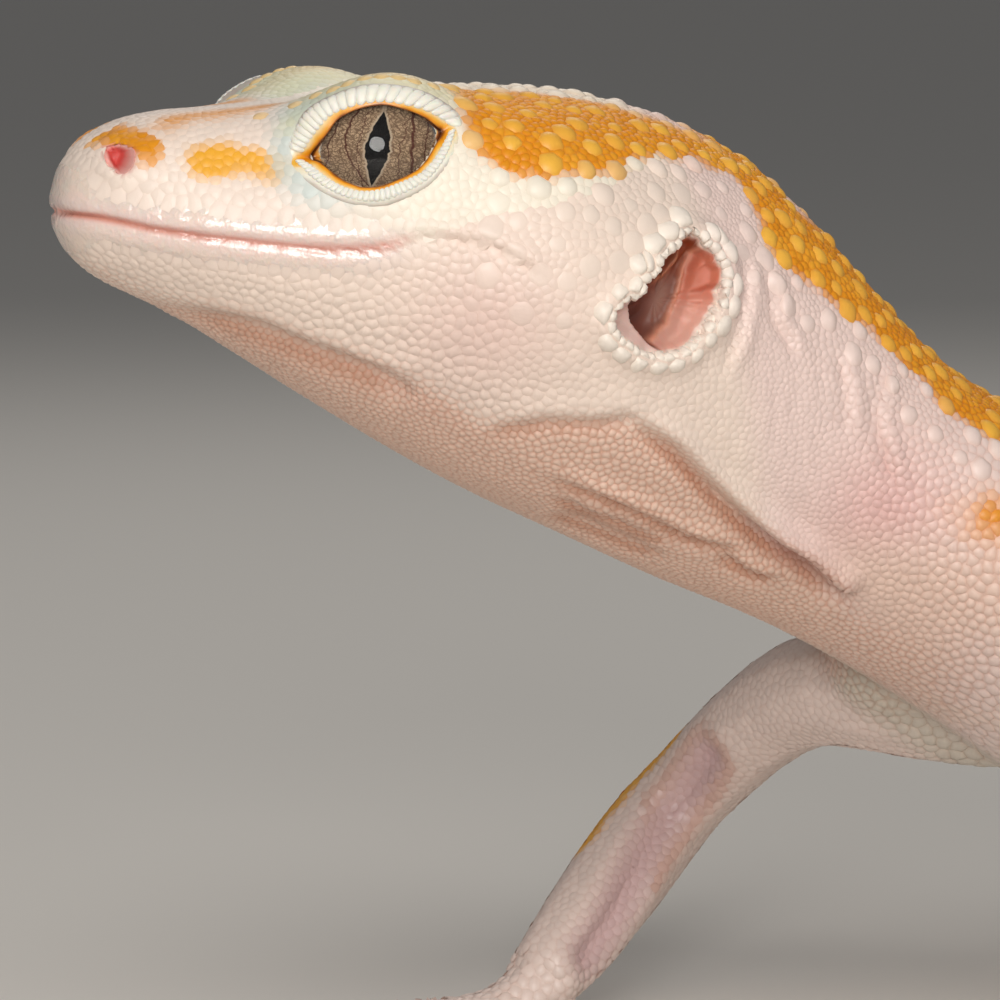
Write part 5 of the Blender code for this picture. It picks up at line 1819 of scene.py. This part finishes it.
class GECKO_OT_claws(bpy.types.Operator):
    """Set a small curved claw on each toe, repeated by Geometry Nodes"""
    bl_idname = "gecko.claws"
    bl_label = "Claws"

    def execute(self, context):
        horn = claw_material("pale claw horn")
        for limb, nodes in LIMBS.items():
            places, ahead = map(np.array, zip(*toe_tips(nodes[-1])))
            across = unit(np.cross(ahead, (0, 0, 1.0)))
            turns = angles_of(across, ahead, np.cross(across, ahead))
            sizes = np.tile(np.array(CLAW) * MM, (len(places), 1))
            mesh = on_points("claws_" + limb, places, turns, sizes, claw_mesh("claw_shape"), horn)
            mesh.polygons.foreach_set("use_smooth", np.full(len(mesh.polygons), True))
            add_piece("claws_" + limb, mesh, "skin_leg")
        return {"FINISHED"}


# ---------------------------------------------------------------- ears and nostrils

CUP_SHARES = (1.08, *np.linspace(1.0, 0.0, 30)[:-1])  # rings of an opening's lining, from rim to middle
CUP_STEPS = 168
EAR_MIDDLE, NOSTRIL_MIDDLE = np.array([24.75, 36.15]), np.array([2.25, 42.4])
# Inside the ear, in side view: the pale shelf in front and the edges of two membranes.
EAR_SHELF = ((21.5, 35.2), (21.8, 36.3), (23.0, 36.6), (22.9, 35.9), (23.0, 35.4), (23.4, 34.9), (23.8, 34.5),
             (24.3, 34.0), (23.5, 33.9), (22.6, 34.3))
EAR_FRONT_MEMBRANE = ((25.9, 39.0), (25.6, 37.9), (25.0, 37.2), (24.5, 36.8))
EAR_REAR_MEMBRANE = ((26.6, 38.5), (26.1, 37.5), (25.7, 36.2), (25.1, 35.1), (24.2, 34.5))


def cup(surface, side, loop, middle, depth_of):
    """A closed cup set in an opening: its points, faces and the side view of each point."""
    edge = closed_curve(loop, CUP_STEPS)
    rim = edge + 0.10 * unit(edge - middle)
    spots = outer_skin(surface, np.insert(rim, 1, 0, axis=1), np.array([0, side, 0]))
    level = smoothed(np.abs(spots[:, 1]), 1.5, wrap=True)
    rows, views = [], []
    for share in CUP_SHARES:
        view = middle + (edge - middle) * share
        height = level.mean() + (level - level.mean()) * min(share, 1) ** 2
        drop = depth_of(view) if share < 1 else np.full(CUP_STEPS, 0.03)
        drop = drop.mean() + (drop - drop.mean()) * step_up(share, 0.02, 0.4)
        rows.append(np.column_stack([view[:, 0], side * (height - drop), view[:, 1]]))
        views.append(view)
    last = np.array([middle])
    rows.append(np.array([[middle[0], side * (level.mean() - drop.mean()), middle[1]]]))
    low = side * (min(np.abs(row[:, 1]).min() for row in rows) - 0.3)
    points, faces = lofted([[[middle[0], low, middle[1]]], rows[0] * (1, 0, 1) + (0, low, 0), *rows])
    return points, outward(points, faces), np.vstack([last, views[0], *views, last])


def membrane_places(view):
    """How far each place of a side view lies above the front and the rear membrane, and behind the rear one."""
    places = np.insert(view, 1, 0, axis=1)
    along, height = np.array(EAR_REAR_MEMBRANE[::-1]).T
    return (beside_line(places, EAR_FRONT_MEMBRANE)[0], beside_line(places, EAR_REAR_MEMBRANE)[0],
            np.interp(view[:, 1], height, along))


def ear_depth(view):
    inward = -from_loop(view, EAR_EDGE)
    front, rear, edge = membrane_places(view)
    shelf = 1 - step_up(from_loop(view, EAR_SHELF), -0.10, 0.10)
    behind = step_up(np.abs(rear) * (view[:, 0] > edge), 0.0, 0.5)
    deep = (0.18 + 1.15 * step_up(inward, 0.0, 0.38) + 0.55 * step_up(inward, 0.3, 1.2)
            - 0.55 * behind * step_up(inward, 0, 0.3))
    deep -= 0.45 * bell(front, 0.16) * step_up(view[:, 1], 36.6, 37.4) + 0.25 * bell(rear, 0.13)
    return deep + (0.16 + 0.30 * step_up(inward, 0.0, 0.6) - deep) * shelf


def nostril_depth(view):
    return 0.05 + 0.5 * step_up(-from_loop(view, NOSTRIL_EDGE), 0.0, 0.32)


def ear_colours(view):
    x, z = view.T
    front, rear, edge = membrane_places(view)
    behind = step_up(x - edge, -0.05, 0.15)
    return painted(np.tile(HUES["ear floor"], (len(view), 1)), (
        ("ear top", step_up(z, 36.6, 38.0)),
        # Painted shadow, dark brown, deep in the lower front of the ear.
        ("ear shadow", 0.8 * bell(np.hypot(x - 23.6, z - 35.6), 0.6)),
        ("ear drum", 0.6 * bell(np.hypot((x - 25.0) * 2.2 + (z - 36.2) * -0.7, (z - 36.2) * 0.8), 1.0)),
        ("ear rear", behind),
        ("ear lobe", behind * (1 - step_up(z, 35.2, 37.0))),
        ("front membrane", 0.9 * bell(front, 0.17) * step_up(z, 36.7, 37.2)),
        ("rear membrane", 0.85 * bell(rear, 0.13)),
        ("ear shelf", 1 - step_up(from_loop(view, EAR_SHELF), -0.06, 0.06)),
        ("ear edge", 1 - step_up(-from_loop(view, EAR_EDGE), 0.02, 0.12)),
    ))


def nostril_colours(view):
    deep = step_up(-from_loop(view, NOSTRIL_EDGE), 0.0, 0.25)[:, None]
    return HUES["nostril edge"] * (1 - deep) + HUES["nostril deep"] * deep


def membrane_material(name):
    """Thin moist membrane, half glossy, with light glowing through it."""
    made = new_material(name)
    colour = stored(made, "markings")["Color"]
    return glowing(made, colour, 0.58, 0.3, (1.0, 0.3, 0.2), (3800.0, 3.0, 0.4, 0.00004))


class GECKO_OT_openings(bpy.types.Operator):
    """Line the ears with their folded membranes and the nostrils with red skin"""
    bl_idname = "gecko.openings"
    bl_label = "Ears and nostrils"

    def execute(self, context):
        surface = Surface()
        look = membrane_material("moist membrane")
        for name, side in SIDES:
            for piece, loop, middle, depth_of, colours_of, slot_name, replaced in (
                    ("ear_", EAR_EDGE, EAR_MIDDLE, ear_depth, ear_colours, "eardrum", ["eardrum_" + name]),
                    ("nostril_", NOSTRIL_EDGE, NOSTRIL_MIDDLE, nostril_depth, nostril_colours, "skin_head",
                     ())):
                points, faces, view = cup(surface, side, loop, middle, depth_of)
                mesh = fresh_mesh(piece + name, points, faces)
                point_colours(mesh, "markings", colours_of(view))
                add_piece(piece + name, mesh, slot_name, replaced, look)
        return {"FINISHED"}


# ---------------------------------------------------------------- the stage

VIEW_AT = np.array([18.929, -4.336, 27.330])
VIEW_TURN, VIEW_RISE = math.radians(-20), math.radians(6)
VIEW_DISTANCE, VIEW_LENS, VIEW_SENSOR = 250.0, 207.0, 36.0
FLOOR_HALF = 3000.0
LIT = np.array([15.0, 0, 36.0])  # the lights aim at the head
WARM = (1.0, 0.96, 0.91)
VIEW_BACK = np.array([math.sin(VIEW_TURN) * math.cos(VIEW_RISE), -math.cos(VIEW_TURN) * math.cos(VIEW_RISE),
                      math.sin(VIEW_RISE)])
FLASH = VIEW_BACK * 300 + (-6, 0, 42)
# Each lamp: step from the head, width, watts, colour, and the kind of ray that doesn't see it, if any.
LAMPS = {
    "key": ((-120, -230, 260), 190, 0.55, WARM, "visible_glossy"),
    "flash": (FLASH, 100, 0.38, WARM, None),
    "catch": (FLASH, 110, 0.45, (1, 1, 1), "visible_diffuse"),
    "fill": ((260, -260, 120), 260, 0.16, (0.96, 0.98, 1.0), "visible_glossy"),
    "rim": ((120, 260, 240), 200, 0.22, (1.0, 0.97, 0.93), None),
}


def aimed(thing, place, target):
    place, target = Vector(to_metres(place)), Vector(to_metres(target))
    thing.location = place
    thing.rotation_euler = (target - place).to_track_quat("-Z", "Y").to_euler()
    return thing


class GECKO_OT_stage(bpy.types.Operator):
    """Set up the floor, the soft studio lights and the camera"""
    bl_idname = "gecko.stage"
    bl_label = "Stage"

    def execute(self, context):
        camera = bpy.data.cameras.new("camera")
        camera.sensor_width, camera.lens, camera.clip_start, camera.clip_end = VIEW_SENSOR, VIEW_LENS, 0.01, 20
        context.scene.camera = aimed(add_object("camera", camera), VIEW_AT + VIEW_BACK * VIEW_DISTANCE, VIEW_AT)
        corners = np.array([(-1, -1, 0), (1, -1, 0), (1, 1, 0), (-1, 1, 0)]) * FLOOR_HALF
        floor = add_object("floor", fresh_mesh("floor", corners, [[0, 1, 2, 3]], smooth=False))
        paper = {"Base Color": (*linear("#E4E0DA"), 1), "Roughness": 0.9}
        floor.data.materials.append(principled(new_material("matt paper backdrop"), paper, ()))
        for name, (step, width, power, colour, unseen) in LAMPS.items():
            light = bpy.data.lights.new(name, "AREA")
            light.shape, light.size, light.energy, light.color = "DISK", width * MM, power, colour
            lamp = aimed(add_object(name, light), LIT + step, LIT)
            if unseen:
                setattr(lamp, unseen, False)
        world = bpy.data.worlds.new("studio")
        world.use_nodes = True
        world.node_tree.nodes["Background"].inputs["Color"].default_value = (*linear("#EDEEF0"), 1)
        world.node_tree.nodes["Background"].inputs["Strength"].default_value = 0.15
        context.scene.world = world
        context.scene.view_settings.view_transform = "Standard"
        return {"FINISHED"}


# ---------------------------------------------------------------- add-on

OPERATORS = (GECKO_OT_skin, GECKO_OT_scales, GECKO_OT_eyes, GECKO_OT_lids, GECKO_OT_openings, GECKO_OT_claws,
             GECKO_OT_stage)
GROUPS = {"gecko_skin": GECKO_PG_skin, "gecko_scales": GECKO_PG_scales}


class GECKO_PT_panel(bpy.types.Panel):
    """Shows the gecko's settings and a button for each step"""
    bl_idname = "GECKO_PT_panel"
    bl_label = "Leopard Gecko"
    bl_space_type = "VIEW_3D"
    bl_region_type = "UI"
    bl_category = "Gecko"

    def draw(self, context):
        for group in GROUPS:
            for name in getattr(context.scene, group).bl_rna.properties.keys():
                if name not in ("rna_type", "name"):
                    self.layout.prop(getattr(context.scene, group), name)
        for operator in OPERATORS:
            self.layout.operator(operator.bl_idname)


CLASSES = (*GROUPS.values(), *OPERATORS, GECKO_PT_panel)


def register():
    for item in CLASSES:
        bpy.utils.register_class(item)
    for name, group in GROUPS.items():
        setattr(bpy.types.Scene, name, bpy.props.PointerProperty(type=group))


def unregister():
    for name in GROUPS:
        delattr(bpy.types.Scene, name)
    for item in reversed(CLASSES):
        bpy.utils.unregister_class(item)


def main():
    register()
    for operator in OPERATORS:
        getattr(bpy.ops.gecko, operator.bl_idname.split(".")[1])()


if __name__ == "__main__":
    main()
